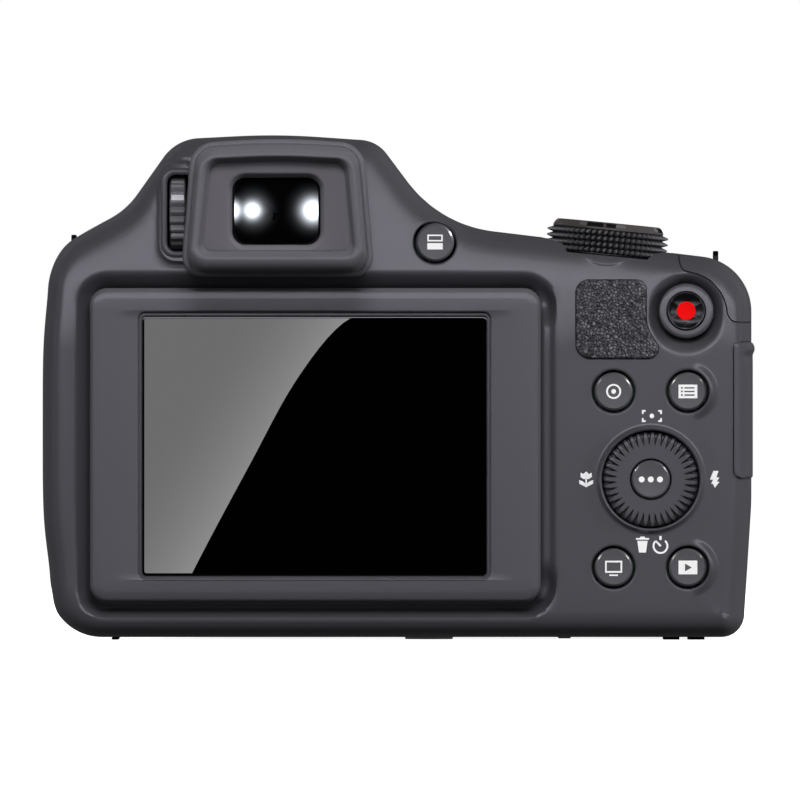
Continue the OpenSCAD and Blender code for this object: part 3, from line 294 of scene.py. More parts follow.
def rounded(corners, spacing, arc=0, side=0):
    """A closed outline with round corners: rows of x, z and the outward normal, about spacing apart.

    With arc and side set, every corner and side has that many parts, so that like outlines match.
    """
    arcs = []
    count = len(corners)
    for i in range(count):
        before, at, after = corners[i - 1], corners[i], corners[(i + 1) % count]
        start_angle = math.atan2(at[1] - before[1], at[0] - before[0])
        turn = math.atan2(after[1] - at[1], after[0] - at[0]) - start_angle
        turn = (turn + math.pi) % (2 * math.pi) - math.pi
        sign = 1 if turn >= 0 else -1
        reach = at[2] * math.tan(abs(turn) / 2)
        sx, sz = at[0] - reach * math.cos(start_angle), at[1] - reach * math.sin(start_angle)
        cx = sx - sign * at[2] * math.sin(start_angle)
        cz = sz + sign * at[2] * math.cos(start_angle)
        steps = arc or max(3, math.ceil(abs(turn) * at[2] / spacing))
        for k in range(steps + 1):
            a = start_angle + turn * k / steps - math.pi / 2
            arcs.append((cx + sign * at[2] * math.cos(a), cz + sign * at[2] * math.sin(a),
                         math.cos(a), math.sin(a)))
    rows = []
    for i, (p, q) in enumerate(zip(arcs, arcs[1:] + arcs[:1])):
        rows.append(p)
        length = math.hypot(q[0] - p[0], q[1] - p[1])
        parts = math.ceil(length / spacing)
        if arc:
            parts = side if i % (arc + 1) == arc else 1
        for k in range(1, parts):
            t = k / parts
            rows.append(tuple(p[i] + (q[i] - p[i]) * t for i in range(4)))
    return np.array(rows)


def box_corners(x, z, w, h, r):
    """Corners of an upright box, from its middle, its size and its corner radius."""
    return [(x + i * w / 2, z + k * h / 2, r) for i, k in ((-1, -1), (1, -1), (1, 1), (-1, 1))]


def grown(box, s):
    """Corners of a box grown by s all round."""
    x, z, w, h, r = box
    return box_corners(x, z, w + 2 * s, h + 2 * s, max(1.0, r + s))


def inset(rows, d):
    """An outline's points moved inwards."""
    return np.column_stack((rows[:, 0] - rows[:, 2] * d, rows[:, 1] - rows[:, 3] * d))


def at_depth(points, y):
    """Points of an outline as places at one depth."""
    return [(p[0], y, p[1]) for p in points]


def ease(t):
    """A smooth step from 0 to 1."""
    t = np.clip(t, 0, 1)
    return t * t * (3 - 2 * t)


def lean(z, y):
    """How far the back leans forwards at a height."""
    t = np.maximum(0, z - 51)
    return 0.105 * t * t / (t + 12) * np.maximum(0, SPLIT - y) / (SPLIT - BACK)


def bow(x, z):
    """How far the left side draws in above and below its middle."""
    foot = np.exp(-(np.maximum(0, z - 9) / 9) ** 2) * (1.35 - 0.85 * ease((9 - z) / 5.5))
    return (1.0 * np.exp(-((z - 64) / 9) ** 2) + foot) * ease((-58.5 - x) / 9)


def outside(points, corners_of):
    """Distance outside a box with round corners."""
    x, z, w, h, r = corners_of
    qx = np.abs(points[:, 0] - x) - (w / 2 - r)
    qz = np.abs(points[:, 1] - z) - (h / 2 - r)
    return np.hypot(np.maximum(qx, 0), np.maximum(qz, 0)) + np.minimum(np.maximum(qx, qz), 0) - r


def away(points, line):
    """Distance from a broken line."""
    best = np.full(len(points), 1e9)
    for (ax, az), (bx, bz) in zip(line, line[1:]):
        dx, dz = bx - ax, bz - az
        t = np.clip(((points[:, 0] - ax) * dx + (points[:, 1] - az) * dz) / (dx * dx + dz * dz), 0, 1)
        best = np.minimum(best, np.hypot(points[:, 0] - ax - t * dx, points[:, 1] - az - t * dz))
    return best


def smooth_line(points, parts=6):
    """A line through points, curved between them."""
    p = [np.array(points[0])] + [np.array(q) for q in points] + [np.array(points[-1])]
    out = []
    for a, b, c, d in zip(p, p[1:], p[2:], p[3:]):
        for k in range(parts):
            t = k / parts
            out.append(tuple(0.5 * (2 * b + (c - a) * t + (2 * a - 5 * b + 4 * c - d) * t * t
                                    + (3 * b - a - 3 * c + d) * t ** 3)))
    return out + [tuple(p[-1])]


# The moulded back


BEZEL = (SCREEN[0], SCREEN[1], 78.9, 55.0, 3.1)
EDGE = rounded(OUTLINE, 0.15)
# The boss round the dioptre wheel
BOSS = (-43.6, 74.85, 7.0, 17.0, 2.8)
# The finger scoop under the dial, as (x, z, radius)
SCOOP = (31.2, 71.75, 6.2)
SEAM_LINE = smooth_line(SEAM)


def nearest_edge(points):
    """Distance in from the outline, and the outline's normal there."""
    depth = np.empty(len(points))
    normal = np.empty((len(points), 2))
    for i in range(0, len(points), 2000):
        part = points[i:i + 2000]
        gap = ((part[:, None, :] - EDGE[None, :, :2]) ** 2).sum(2)
        k = gap.argmin(1)
        normal[i:i + 2000] = EDGE[k, 2:]
        depth[i:i + 2000] = ((EDGE[k, :2] - part) * EDGE[k, 2:]).sum(1)
    return depth, normal


def relief(points):
    """How deep each moulded detail lies below the plain back."""
    x, z = points[:, 0], points[:, 1]
    # The trough round the screen frame: shallower on the right, deeper below, hollow on the left
    s = outside(points, BEZEL)
    right = ease((x - 17.5) / 3) * ease((58.6 - z) / 4) * ease((z - 9.6) / 4)
    low = 1 + 0.45 * ease((7.5 - z) / 1.5)
    left = ease((-58.4 - x) / 2) * ease((62.6 - z) / 3)
    fall = left * np.clip(1 - s / 3.1, 0, 1.15) ** 1.4 + (1 - left) * (1 - ease((s - 1.1) / 1.9))
    e = sizes().trough / MM * low * (1 - 0.66 * right) * fall
    # Along the frame's top it is deepest
    qx = np.maximum(0, np.abs(x - BEZEL[0]) - (BEZEL[2] / 2 - BEZEL[4]))
    qz = np.maximum(0, z - BEZEL[1] - (BEZEL[3] / 2 - BEZEL[4]))
    top = ease(qz / np.maximum(np.hypot(qx, qz), 1e-6))
    e = e + top * (1.45 * sizes().trough / MM * np.clip(1 - s / 2.65, 0, 1.1) ** 1.3 - e)
    # The boss of the dioptre wheel stands proud, with a groove at its foot
    s = outside(points, BOSS)
    e = e - 0.5 * (1 - ease(s / 0.5)) + 0.15 * np.exp(-((s - 0.75) / 0.3) ** 2)
    # The key holes have rounded lips
    for at in [*KEYS.values(), EVF_KEY]:
        r = np.hypot(x - at[0], z - at[1])
        lip = np.clip(0.3 - (r - KEY_HOLE), 0, 0.3)
        e = e + 0.3 - np.sqrt(np.maximum(0, 0.09 - lip * lip))
    # Two keys have a raised crescent beside them
    for name in ("menu", "playback"):
        at = KEYS[name]
        r = np.hypot(x - at[0], z - at[1])
        angle = np.degrees(np.arctan2(z - at[1], x - at[0]))
        taper = np.cos(np.radians(np.clip(np.abs(angle) / 80 * 90, 0, 90))) ** 1.3
        e = e - 0.75 * taper * (1 - ease((r - 4.3) / 0.95))
    # The four-way ring's hole has a raised lip
    r = np.hypot(x - NAV[0], z - NAV[1])
    e = e - 1.0 * (1 - ease((r - 8.75) / 0.85)) + 0.3 * (1 - ease((r - NAV_HOLE) / 0.3))
    # The record key has a collar, and a moat that is widest below it
    r = np.hypot(x - RECORD[0], z - RECORD[1])
    moat = 1.9 + 0.9 * np.clip((RECORD[1] - z) / np.maximum(r, 0.1), 0, 1)
    collar = -0.5 + 0.16 * ease((r - 4.52) / 0.25)
    e = e + np.where(r < 4.8, collar, 2.3 * np.clip(1 - (r - 4.8) / moat, 0, 1) ** 1.7)
    return e + 0.32 * np.clip(1 - away(points, SEAM_LINE) / 0.13, 0, 1)


def on_back(points):
    """Places of (x, z) points on the moulded back, with the direction into the body."""
    depth, normal = nearest_edge(points)
    sine = np.clip(1 - depth / EDGE_INSET, 0, 1) ** EDGE_POWER
    cosine = np.sqrt(1 - sine * sine)
    y = BACK + EDGE_DEPTH * (1 - cosine)
    y = y + lean(points[:, 1], y)
    size = np.hypot(EDGE_DEPTH * sine, EDGE_INSET * cosine)
    out, back = EDGE_DEPTH * sine / size, EDGE_INSET * cosine / size
    inward = np.column_stack((-normal[:, 0] * out, back, -normal[:, 1] * out))
    place = np.column_stack((points[:, 0], y, points[:, 1])) + inward * relief(points)[:, None]
    scoop = ease((SCOOP[2] + 0.3 - np.hypot(points[:, 0] - SCOOP[0], points[:, 1] - SCOOP[1])) / 0.6)
    crown = 0.55 * np.clip(1 - depth / 8.5, 0, 1) ** 2 * (1 - 0.8 * np.maximum(0, -normal[:, 1]))
    place[:, 1] += crown - 0.13 * scoop
    return place, inward


def ring_points(at, r, count):
    """Points round a circle."""
    a = np.arange(count) * 2 * math.pi / count
    return np.column_stack((at[0] + r * np.cos(a), at[1] + r * np.sin(a)))


def back_loops():
    """Closed loops of (x, z) points that the back's mesh follows, and the holes among them."""
    loops, holes, lines = [], [], []

    def rings(at, radii, count):
        """Adds round loops and gives back the first."""
        made = [ring_points(at, r, count) for r in radii]
        loops.extend(made)
        return made[0]

    extra = [(RIGHT, PORT[0] - 0.1), (RIGHT, PORT[1] + 0.1), SEAM[0], SEAM[-1]]
    rim = with_points(rounded(OUTLINE, 0.55), extra)
    for degrees in (0, 12, 24, 34, 44, 53, 61, 68, 74, 79, 83, 86.5):
        loops.append(inset(rim, EDGE_INSET * (1 - math.sin(math.radians(degrees)))))
    boxes = [rounded(grown(BEZEL, s), 0.7)[:, :2]
             for s in (-2.4, -0.3, 0.35, 0.7, 1.05, 1.4, 1.75, 2.1, 2.45, 2.8, 3.3)]
    loops.extend(boxes)
    holes.append(boxes[0])
    for s in (0, 0.12, 0.25, 0.4, 0.55, 0.75, 1.1):
        loops.append(rounded(grown(BOSS, s), 0.6)[:, :2])
    for at in [*KEYS.values(), EVF_KEY]:
        holes.append(rings(at, [KEY_HOLE + r for r in (0, 0.05, 0.12, 0.2, 0.3, 0.5, 0.75)], 88))
    for name in ("menu", "playback"):
        rings(KEYS[name], (4.75, 5.0, 5.25, 5.5, 5.8), 96)
    lips = (0, 0.08, 0.18, 0.3, 0.5, 0.7, 0.9, 1.1, 1.3, 1.6)
    holes.append(rings(NAV, [NAV_HOLE + r for r in lips], 160))
    moat = (3.5, 4.1, 4.52, 4.6, 4.68, 4.76, 4.81, 4.92, 5.1, 5.35, 5.65, 6.0, 6.4, 6.8, 7.3, 7.9)
    holes.append(rings(RECORD, moat, 112))
    for r in (-0.75, -0.5, -0.4, -0.3, -0.2, -0.1, 0, 0.2, 0.45):
        angles = np.radians(np.arange(-165, -14, 3))
        lines.append(np.column_stack((SCOOP[0] + (SCOOP[2] + r) * np.cos(angles),
                                      SCOOP[1] + (SCOOP[2] + r) * np.sin(angles))))
    pad = rounded(PAD, 0.5)
    loops.append(inset(pad, -0.12))
    holes.append(loops[-1])
    loops.append(inset(pad, -0.4))
    cup = rounded(CUP_OUTLINE, 0.6)
    loops.append(inset(cup, 1.2))
    holes.append(loops[-1])
    port = rounded([(53.2, PORT[0] - 0.1, 1.5), (70, PORT[0] - 0.1, 1), (70, PORT[1] + 0.1, 1),
                    (53.2, PORT[1] + 0.1, 1.3)], 0.4)
    holes.append(port[:, :2])
    lines.append([p for p in port[:, :2] if p[0] < RIGHT + 1])
    wheel = rounded(box_corners(-44.0, 74.8, 3.7, 14.2, 1.2), 0.4)
    loops.append(wheel[:, :2])
    holes.append(wheel[:, :2])
    for side in (-0.13, 0, 0.13):
        lines.append([(x + side * nx, z + side * nz) for x, z, nx, nz in with_normals(SEAM_LINE)])
    return rim, loops, holes, lines


def with_points(rows, extra):
    """An outline with more points on its sides, next to the places given."""
    rows = [tuple(r) for r in rows]
    for x, z in extra:
        best = min(range(len(rows)), key=lambda i: math.hypot(rows[i][0] - x, rows[i][1] - z)
                   + math.hypot(rows[i - 1][0] - x, rows[i - 1][1] - z))
        a, b = rows[best - 1], rows[best]
        dx, dz = b[0] - a[0], b[1] - a[1]
        t = ((x - a[0]) * dx + (z - a[1]) * dz) / (dx * dx + dz * dz)
        if 0.02 < t < 0.98:
            rows.insert(best, tuple(a[i] + (b[i] - a[i]) * t for i in range(4)))
    return np.array(rows)


def with_normals(line):
    """A line's points with the normal to its left."""
    out = []
    for i, (x, z) in enumerate(line):
        ax, az = line[max(0, i - 1)]
        bx, bz = line[min(len(line) - 1, i + 1)]
        size = math.hypot(bx - ax, bz - az)
        out.append((x, z, -(bz - az) / size, (bx - ax) / size))
    return out


def inside(points, loop):
    """Which points lie inside a closed loop."""
    hit = np.zeros(len(points), bool)
    x, z = points[:, 0], points[:, 1]
    for (ax, az), (bx, bz) in zip(loop, np.roll(loop, -1, axis=0)):
        cross = (az > z) != (bz > z)
        with np.errstate(divide="ignore", invalid="ignore"):
            hit ^= cross & (x < (bx - ax) * (z - az) / (bz - az) + ax)
    return hit


def back_mesh():
    """Triangles of the moulded back in the plane, with the outline's points first."""
    rim, loops, holes, lines = back_loops()
    points = [tuple(p) for p in rim[:, :2]]
    edges = [(i, (i + 1) % len(rim)) for i in range(len(rim))]
    kept = []
    for loop in loops:
        first = len(points)
        ring = [tuple(p) for p in loop]
        points += ring
        edges += [(first + i, first + (i + 1) % len(ring)) for i in range(len(ring))]
        kept += ring
    for line in lines:
        depth, _ = nearest_edge(np.array(line))
        part = [tuple(p) for p, d in zip(line, depth) if d > 0.002]
        first = len(points)
        points += part
        edges += [(first + i, first + i + 1) for i in range(len(part) - 1)]
        kept += part
    step = 0.95
    grid = np.array([(x + (row % 2) * step / 2, z) for row, z in enumerate(np.arange(1, 88, step * 0.866))
                     for x in np.arange(LEFT, RIGHT, step)])
    depth, _ = nearest_edge(grid)
    grid = grid[depth > EDGE_INSET + 0.4]
    crowd = np.array(kept)
    free = np.array([((crowd - p) ** 2).sum(1).min() > 0.36 for p in grid])
    points += [tuple(p) for p in grid[free]]
    made = delaunay_2d_cdt([Vector(p) for p in points], edges, [], 0, 1e-5)
    flat = np.array([tuple(p) for p in made[0]])
    source = [o[0] if o else -1 for o in made[3]]
    tris = np.array([f for f in made[2] if len(f) == 3])
    middle = flat[tris].mean(1)
    keep = inside(middle, rim[:, :2])
    for loop in holes:
        keep &= ~inside(middle, np.asarray(loop))
    return rim, flat, source, tris[keep], middle[keep]


def shell_from(name, place, inward, tris, thick):
    """A closed shell from a sheet of triangles: the sheet, its offset and the walls between."""
    used = np.unique(tris)
    index = -np.ones(len(place), int)
    index[used] = np.arange(len(used))
    tris = index[tris]
    outer = place[used]
    inner = outer + inward[used] * thick[used][:, None]
    n = len(used)
    count = {}
    for a, b, c in tris:
        for e in ((a, b), (b, c), (c, a)):
            count[e] = count.get(e, 0) + 1
    walls = [(b, a, a + n, b + n) for a, b in count if (b, a) not in count]
    faces = [tuple(t) for t in tris] + [(c + n, b + n, a + n) for a, b, c in tris] + walls
    return mesh_piece(name, np.vstack((outer, inner)), faces)


# Finishes


def put(tree, kind, values=None, links=None, **props):
    """Adds a shader node: its own settings, the values of its sockets, and what is linked to them."""
    node = tree.nodes.new("ShaderNode" + kind)
    for key, value in props.items():
        setattr(node, key, value)
    for key, value in (values or {}).items():
        node.inputs[key].default_value = value
    for key, source in (links or {}).items():
        tree.links.new(source, node.inputs[key])
    return node


def blank(name):
    """An empty material, its node tree and its output."""
    material = bpy.data.materials.new(name)
    material.use_nodes = True
    tree = material.node_tree
    tree.nodes.clear()
    return material, tree, put(tree, "OutputMaterial")


def moulded(name, tint, rough, grain, height, mottle=0.06, coat=0.0, gloss=0.5, coat_rough=0.12,
            crease=1.0):
    """Moulded plastic or rubber: a fine eroded grain (millimetres) and slightly uneven colour and gloss."""
    material, tree, out = blank(name)
    where = put(tree, "TexCoord").outputs["Object"]
    fine = put(tree, "TexNoise", {"Scale": 1 / (grain * MM), "Detail": 3.0, "Roughness": 0.6},
               {"Vector": where})
    broad = put(tree, "TexNoise", {"Scale": 1 / (14 * MM), "Detail": 2.0}, {"Vector": where})
    spread = {"To Min": 1 - mottle, "To Max": 1 + mottle}
    tone = put(tree, "MapRange", spread, {"Value": broad.outputs["Fac"]})
    speck = put(tree, "MapRange", spread, {"Value": fine.outputs["Fac"]})
    level = put(tree, "Math", {}, {0: tone.outputs[0], 1: speck.outputs[0]}, operation="MULTIPLY")
    # Below 1, this darkens the colour by a point attribute: painted shade towards the roots between the dial's
    # pyramids
    if crease < 1:
        low = put(tree, "Attribute", attribute_name="crease").outputs["Fac"]
        painted_shade_level = put(tree, "MapRange", {"To Min": 1.0, "To Max": crease}, {"Value": low})
        level = put(tree, "Math", {}, {0: level.outputs[0], 1: painted_shade_level.outputs[0]}, operation="MULTIPLY")
    shade = put(tree, "VectorMath", {0: tint}, {"Scale": level.outputs[0]}, operation="SCALE")
    dull = put(tree, "MapRange", {"To Min": rough - 0.06, "To Max": rough + 0.06},
               {"Value": fine.outputs["Fac"]})
    bump = put(tree, "Bump", {"Strength": 1.0, "Distance": height * MM}, {"Height": fine.outputs["Fac"]})
    shader = put(tree, "BsdfPrincipled", {
        "Specular IOR Level": gloss, "Coat Weight": coat, "Coat Roughness": coat_rough,
    }, {"Base Color": shade.outputs[0], "Roughness": dull.outputs[0], "Normal": bump.outputs[0]})
    tree.links.new(shader.outputs[0], out.inputs[0])
    return material


def leather(name, tint, grain, painted_pit_shade, crest):
    """Rubber with a leather grain: the skin's own height sets its colour, with painted shade darkening the
    pits and a painted highlight paling the crests.
    """
    material, tree, out = blank(name)
    where = put(tree, "TexCoord").outputs["Object"]
    height = put(tree, "Attribute", attribute_name="grain").outputs["Fac"]
    fine = put(tree, "TexNoise", {"Scale": 1 / (0.2 * MM), "Detail": 4.0}, {"Vector": where})
    mixed = put(tree, "Math", {1: 0.35, 2: -0.175}, {0: fine.outputs["Fac"]}, operation="MULTIPLY_ADD")
    total = put(tree, "Math", {}, {0: height, 1: mixed.outputs[0]}, operation="ADD")
    # The grain height picks the colour: painted shade in the low pits, a painted highlight on the high crests
    ramp = put(tree, "ValToRGB", {}, {"Fac": total.outputs[0]})
    ramp.color_ramp.elements[0].position = 0.1
    ramp.color_ramp.elements[0].color = (*painted_pit_shade, 1)
    ramp.color_ramp.elements[1].position = 0.95
    ramp.color_ramp.elements[1].color = (*crest, 1)
    middle = ramp.color_ramp.elements.new(0.5)
    middle.color = (*tint, 1)
    bump = put(tree, "Bump", {"Strength": 0.6, "Distance": grain * 0.1}, {"Height": fine.outputs["Fac"]})
    shader = put(tree, "BsdfPrincipled", {"Roughness": 0.55, "Specular IOR Level": 0.4},
                 {"Base Color": ramp.outputs[0], "Normal": bump.outputs[0]})
    tree.links.new(shader.outputs[0], out.inputs[0])
    return material


def polished(name, tint, rough, coat=0.0, metal=0.0, smear=0.01, gloss=0.5, glow=None, spun=0.0):
    """A smooth hard finish, glass, enamel or metal, with faint handling marks in its gloss."""
    material, tree, out = blank(name)
    where = put(tree, "TexCoord").outputs["Object"]
    wipe = put(tree, "TexNoise", {"Scale": 1 / (6 * MM), "Detail": 4.0, "Distortion": 0.6}, {"Vector": where})
    dull = put(tree, "MapRange", {"To Min": rough, "To Max": rough + smear}, {"Value": wipe.outputs["Fac"]})
    tone = put(tree, "MapRange", {"To Min": 0.94, "To Max": 1.06}, {"Value": wipe.outputs["Fac"]})
    shade = put(tree, "VectorMath", {0: tint}, {"Scale": tone.outputs[0]}, operation="SCALE")
    shader = put(tree, "BsdfPrincipled", {
        "Metallic": metal, "Specular IOR Level": gloss, "Coat Weight": coat, "Coat Roughness": 0.03,
        "Anisotropic": spun,
    }, {"Base Color": shade.outputs[0], "Roughness": dull.outputs[0]})
    if glow:
        shader.inputs["Specular Tint"].default_value = (*glow, 1)
    if spun:
        turn = put(tree, "Tangent", direction_type="RADIAL", axis="Y")
        tree.links.new(turn.outputs[0], shader.inputs["Tangent"])
    tree.links.new(shader.outputs[0], out.inputs[0])
    return material


def printed_board(name, tint, copper):
    """Circuit board: solder mask over copper runs and the glass cloth under it."""
    material, tree, out = blank(name)
    where = put(tree, "TexCoord").outputs["Object"]
    runs = put(tree, "TexBrick", {"Scale": 1 / (6 * MM), "Mortar Size": 0.06, "Color1": (0, 0, 0, 1),
                                  "Color2": (0, 0, 0, 1), "Mortar": (1, 1, 1, 1)}, {"Vector": where})
    cloth = put(tree, "TexNoise", {"Scale": 1 / (0.5 * MM)}, {"Vector": where})
    shade = put(tree, "Mix", {6: (*tint, 1), 7: (*copper, 1)}, {0: runs.outputs["Fac"]}, data_type="RGBA")
    bump = put(tree, "Bump", {"Strength": 0.4, "Distance": 0.03 * MM}, {"Height": cloth.outputs["Fac"]})
    shader = put(tree, "BsdfPrincipled", {"Roughness": 0.38},
                 {"Base Color": shade.outputs[2], "Normal": bump.outputs[0]})
    tree.links.new(shader.outputs[0], out.inputs[0])
    return material


def prism(name, tint):
    """Clear flash plastic: upright prisms moulded inside scatter the light."""
    material, tree, out = blank(name)
    where = put(tree, "TexCoord").outputs["Object"]
    waves = put(tree, "TexWave", {"Scale": 1 / (4.2 * MM)}, {"Vector": where}, bands_direction="X")
    bump = put(tree, "Bump", {"Strength": 0.7, "Distance": 0.3 * MM}, {"Height": waves.outputs["Fac"]})
    shade = put(tree, "Mix", {6: (*tint, 1), 7: (0.9, 0.9, 0.92, 1)}, {0: waves.outputs["Fac"]},
                data_type="RGBA")
    shader = put(tree, "BsdfPrincipled", {"Roughness": 0.12, "Coat Weight": 1.0, "Coat Roughness": 0.04},
                 {"Base Color": shade.outputs[2], "Normal": bump.outputs[0]})
    tree.links.new(shader.outputs[0], out.inputs[0])
    return material


FINISH = {}


def make_finishes():
    """Every finish, named for the material and how it is made."""
    tint = colours()
    FINISH.update({
        # The covers: matte grey with a grain too fine to see but for its soft highlight
        "shell": moulded("abs_spark_eroded", tint.shell, 0.30, 0.16, 0.004, mottle=0.02),
        # The screen frame: the same plastic, a finer tool finish, so slightly silkier
        "frame": moulded("abs_fine_eroded", tint.shell, 0.31, 0.12, 0.004, mottle=0.02),
        # The keys: satin, a clear edge highlight
        "key": moulded("abs_satin_key", tint.key, 0.38, 0.1, 0.002, mottle=0.015, coat=1.0, coat_rough=0.04),
        # The wheel's pale marker rib
        "pale": moulded("abs_pale_mark", linear("#c4c2cc"), 0.4, 0.1, 0.003, mottle=0.02),
        # The eyecup: soft rubber, broad dull highlights
        "cup": moulded("silicone_rubber_cup", tint.cup, 0.42, 0.14, 0.006, mottle=0.03, gloss=0.5),
        # The eyepiece's flat face: dull plastic
        "face": moulded("abs_matt_face", linear("#6b696f"), 0.6, 0.12, 0.006, mottle=0.02, gloss=0.3),
        # Thumb rest: leather grain cast in rubber, the pits painted dark as shade and the crests painted pale
        # as a highlight
        "pad": leather("rubber_leather_cast", tint.pad, sizes().pad_grain, linear("#060607"),
                       linear("#94939c")),
        # The rubber on the finger side: the same rubber with a finer, even grain
        "grip": moulded("rubber_grip_skin", tint.pad, 0.62, 0.9, 0.12, mottle=0.12, gloss=0.35),
        # The dial's knurl: hard black plastic whose facets glint, its colour painted darker towards the roots
        # between the pyramids as shade
        "dial": moulded("abs_knurled_black", tint.dial, 0.33, 0.12, 0.003, mottle=0.03, crease=0.07),
        # The dial's cap: dark warm plastic, turned smooth
        "cap": moulded("abs_turned_cap", linear("#55504f"), 0.36, 0.2, 0.002, mottle=0.02),
        # Lens tubes and inner plastic: deep black, dull
        "black": moulded("pc_black_matt", tint.black, 0.46, 0.15, 0.006, mottle=0.05),
        # The lens ring, feet and seals: black rubber
        "rubber": moulded("nbr_rubber_black", linear("#1f1f21"), 0.66, 0.2, 0.01, mottle=0.06, gloss=0.3),
        # The screen: black cover glass that mirrors the room
        "glass": polished("cover_glass_black", linear("#020202"), 0.0, smear=0.004),
        # The eyepiece: coated glass, nearly black, a sharp lamp in it
        "eyepiece": polished("coated_eyepiece", linear("#060607"), 0.015, smear=0.004, gloss=0.3),
        # The lens: coated glass with a violet bloom
        "lens": polished("coated_lens_glass", linear("#08070c"), 0.01, coat=0.6, smear=0.004,
                         glow=(0.62, 0.5, 1.0)),
        # The record key's dish: black lacquer turned round, so its gloss runs in rays
        "lacquer": polished("black_lacquer_spun", linear("#0b0a0a"), 0.3, spun=0.6),
        # The red dot: gloss enamel
        "red": moulded("red_enamel", tint.red, 0.6, 0.1, 0.001, mottle=0.01, gloss=0.1),
        # Printed marks: flat white pad print
        "ink": moulded("pad_print_white", tint.ink, 0.6, 0.08, 0.002, mottle=0.02, gloss=0.3),
        # Dark printed blocks on the dial
        "dark_ink": moulded("pad_print_black", linear("#121113"), 0.5, 0.08, 0.002, mottle=0.04, gloss=0.3),
        # Mid printed blocks on the dial
        "pale_ink": moulded("pad_print_grey", linear("#6d696b"), 0.5, 0.08, 0.002, mottle=0.04, gloss=0.3),
        # Pins, lugs, chassis: pressed steel with a dull sheen
        "steel": polished("pressed_steel", linear("#8d8c8f"), 0.34, metal=1.0, smear=0.1),
        # The strap lugs: the same steel blacked with oxide
        "oxide": polished("black_oxide_steel", linear("#2a2a2c"), 0.4, metal=1.0, smear=0.08),
        # The tripod bush: nickel plate, brighter
        "bush": polished("nickel_plated_bush", linear("#b9b6b0"), 0.2, metal=1.0, smear=0.06),
        # Boards: green mask over copper runs
        "board": printed_board("fr4_green_mask", linear("#12402c"), linear("#3d7a4a")),
        # The battery: dull film-wrapped case
        "battery": moulded("battery_case_grey", linear("#3b3d42"), 0.45, 0.4, 0.008, mottle=0.05),
        # The memory card: blue-black case
        "card": moulded("card_case_blue", linear("#1c2a44"), 0.4, 0.3, 0.006, mottle=0.05),
        # The screen's own panel and the finder's display: dark polariser film
        "panel": polished("polariser_film", linear("#0b0c10"), 0.12),
        # Flash window: clear with prisms
        "flash": prism("clear_prism_window", linear("#c9cbd0")),
        # Gold contacts and copper of the motor and sockets: warm metal
        "pcb_metal": polished("tinned_copper", linear("#a58f6a"), 0.3, metal=1.0, smear=0.1),
    })


# Pieces of the back


def side_rows(rim, place, inward, rim_ids):
    """The side wall that goes on from the outline to the split, as rows below the rim."""
    rows = [rim_ids]
    for y in (-14.2, -12.6, -11.1, -9.6, SPLIT):
        first = len(place)
        low = np.column_stack((rim[:, 0], y + lean(rim[:, 1], np.full(len(rim), y)), rim[:, 1]))
        place = np.vstack((place, low))
        inward = np.vstack((inward, np.column_stack((-rim[:, 2], np.zeros(len(rim)), -rim[:, 3]))))
        rows.append(np.arange(first, first + len(rim)))
    return rows, place, inward


def dial_mouth():
    """The cut that opens the back up to the dial's foot, as wide as the dial's seat shows."""
    x, y, z = DIAL_AT
    mouth = ((-6.9, 0.1), (7.2, 0.1), (9.4, 2.2), (9.4, 12), (-8.8, 12), (-8.8, 3.0))
    verts = [(x + u, depth, z + h) for depth in (y - 30, y) for u, h in mouth]
    faces = [tuple(range(6)), tuple(range(11, 5, -1))]
    faces += [((k + 1) % 6, k, 6 + k, 6 + (k + 1) % 6) for k in range(6)]
    return lean_over(mesh_piece("dial_mouth", verts, faces))


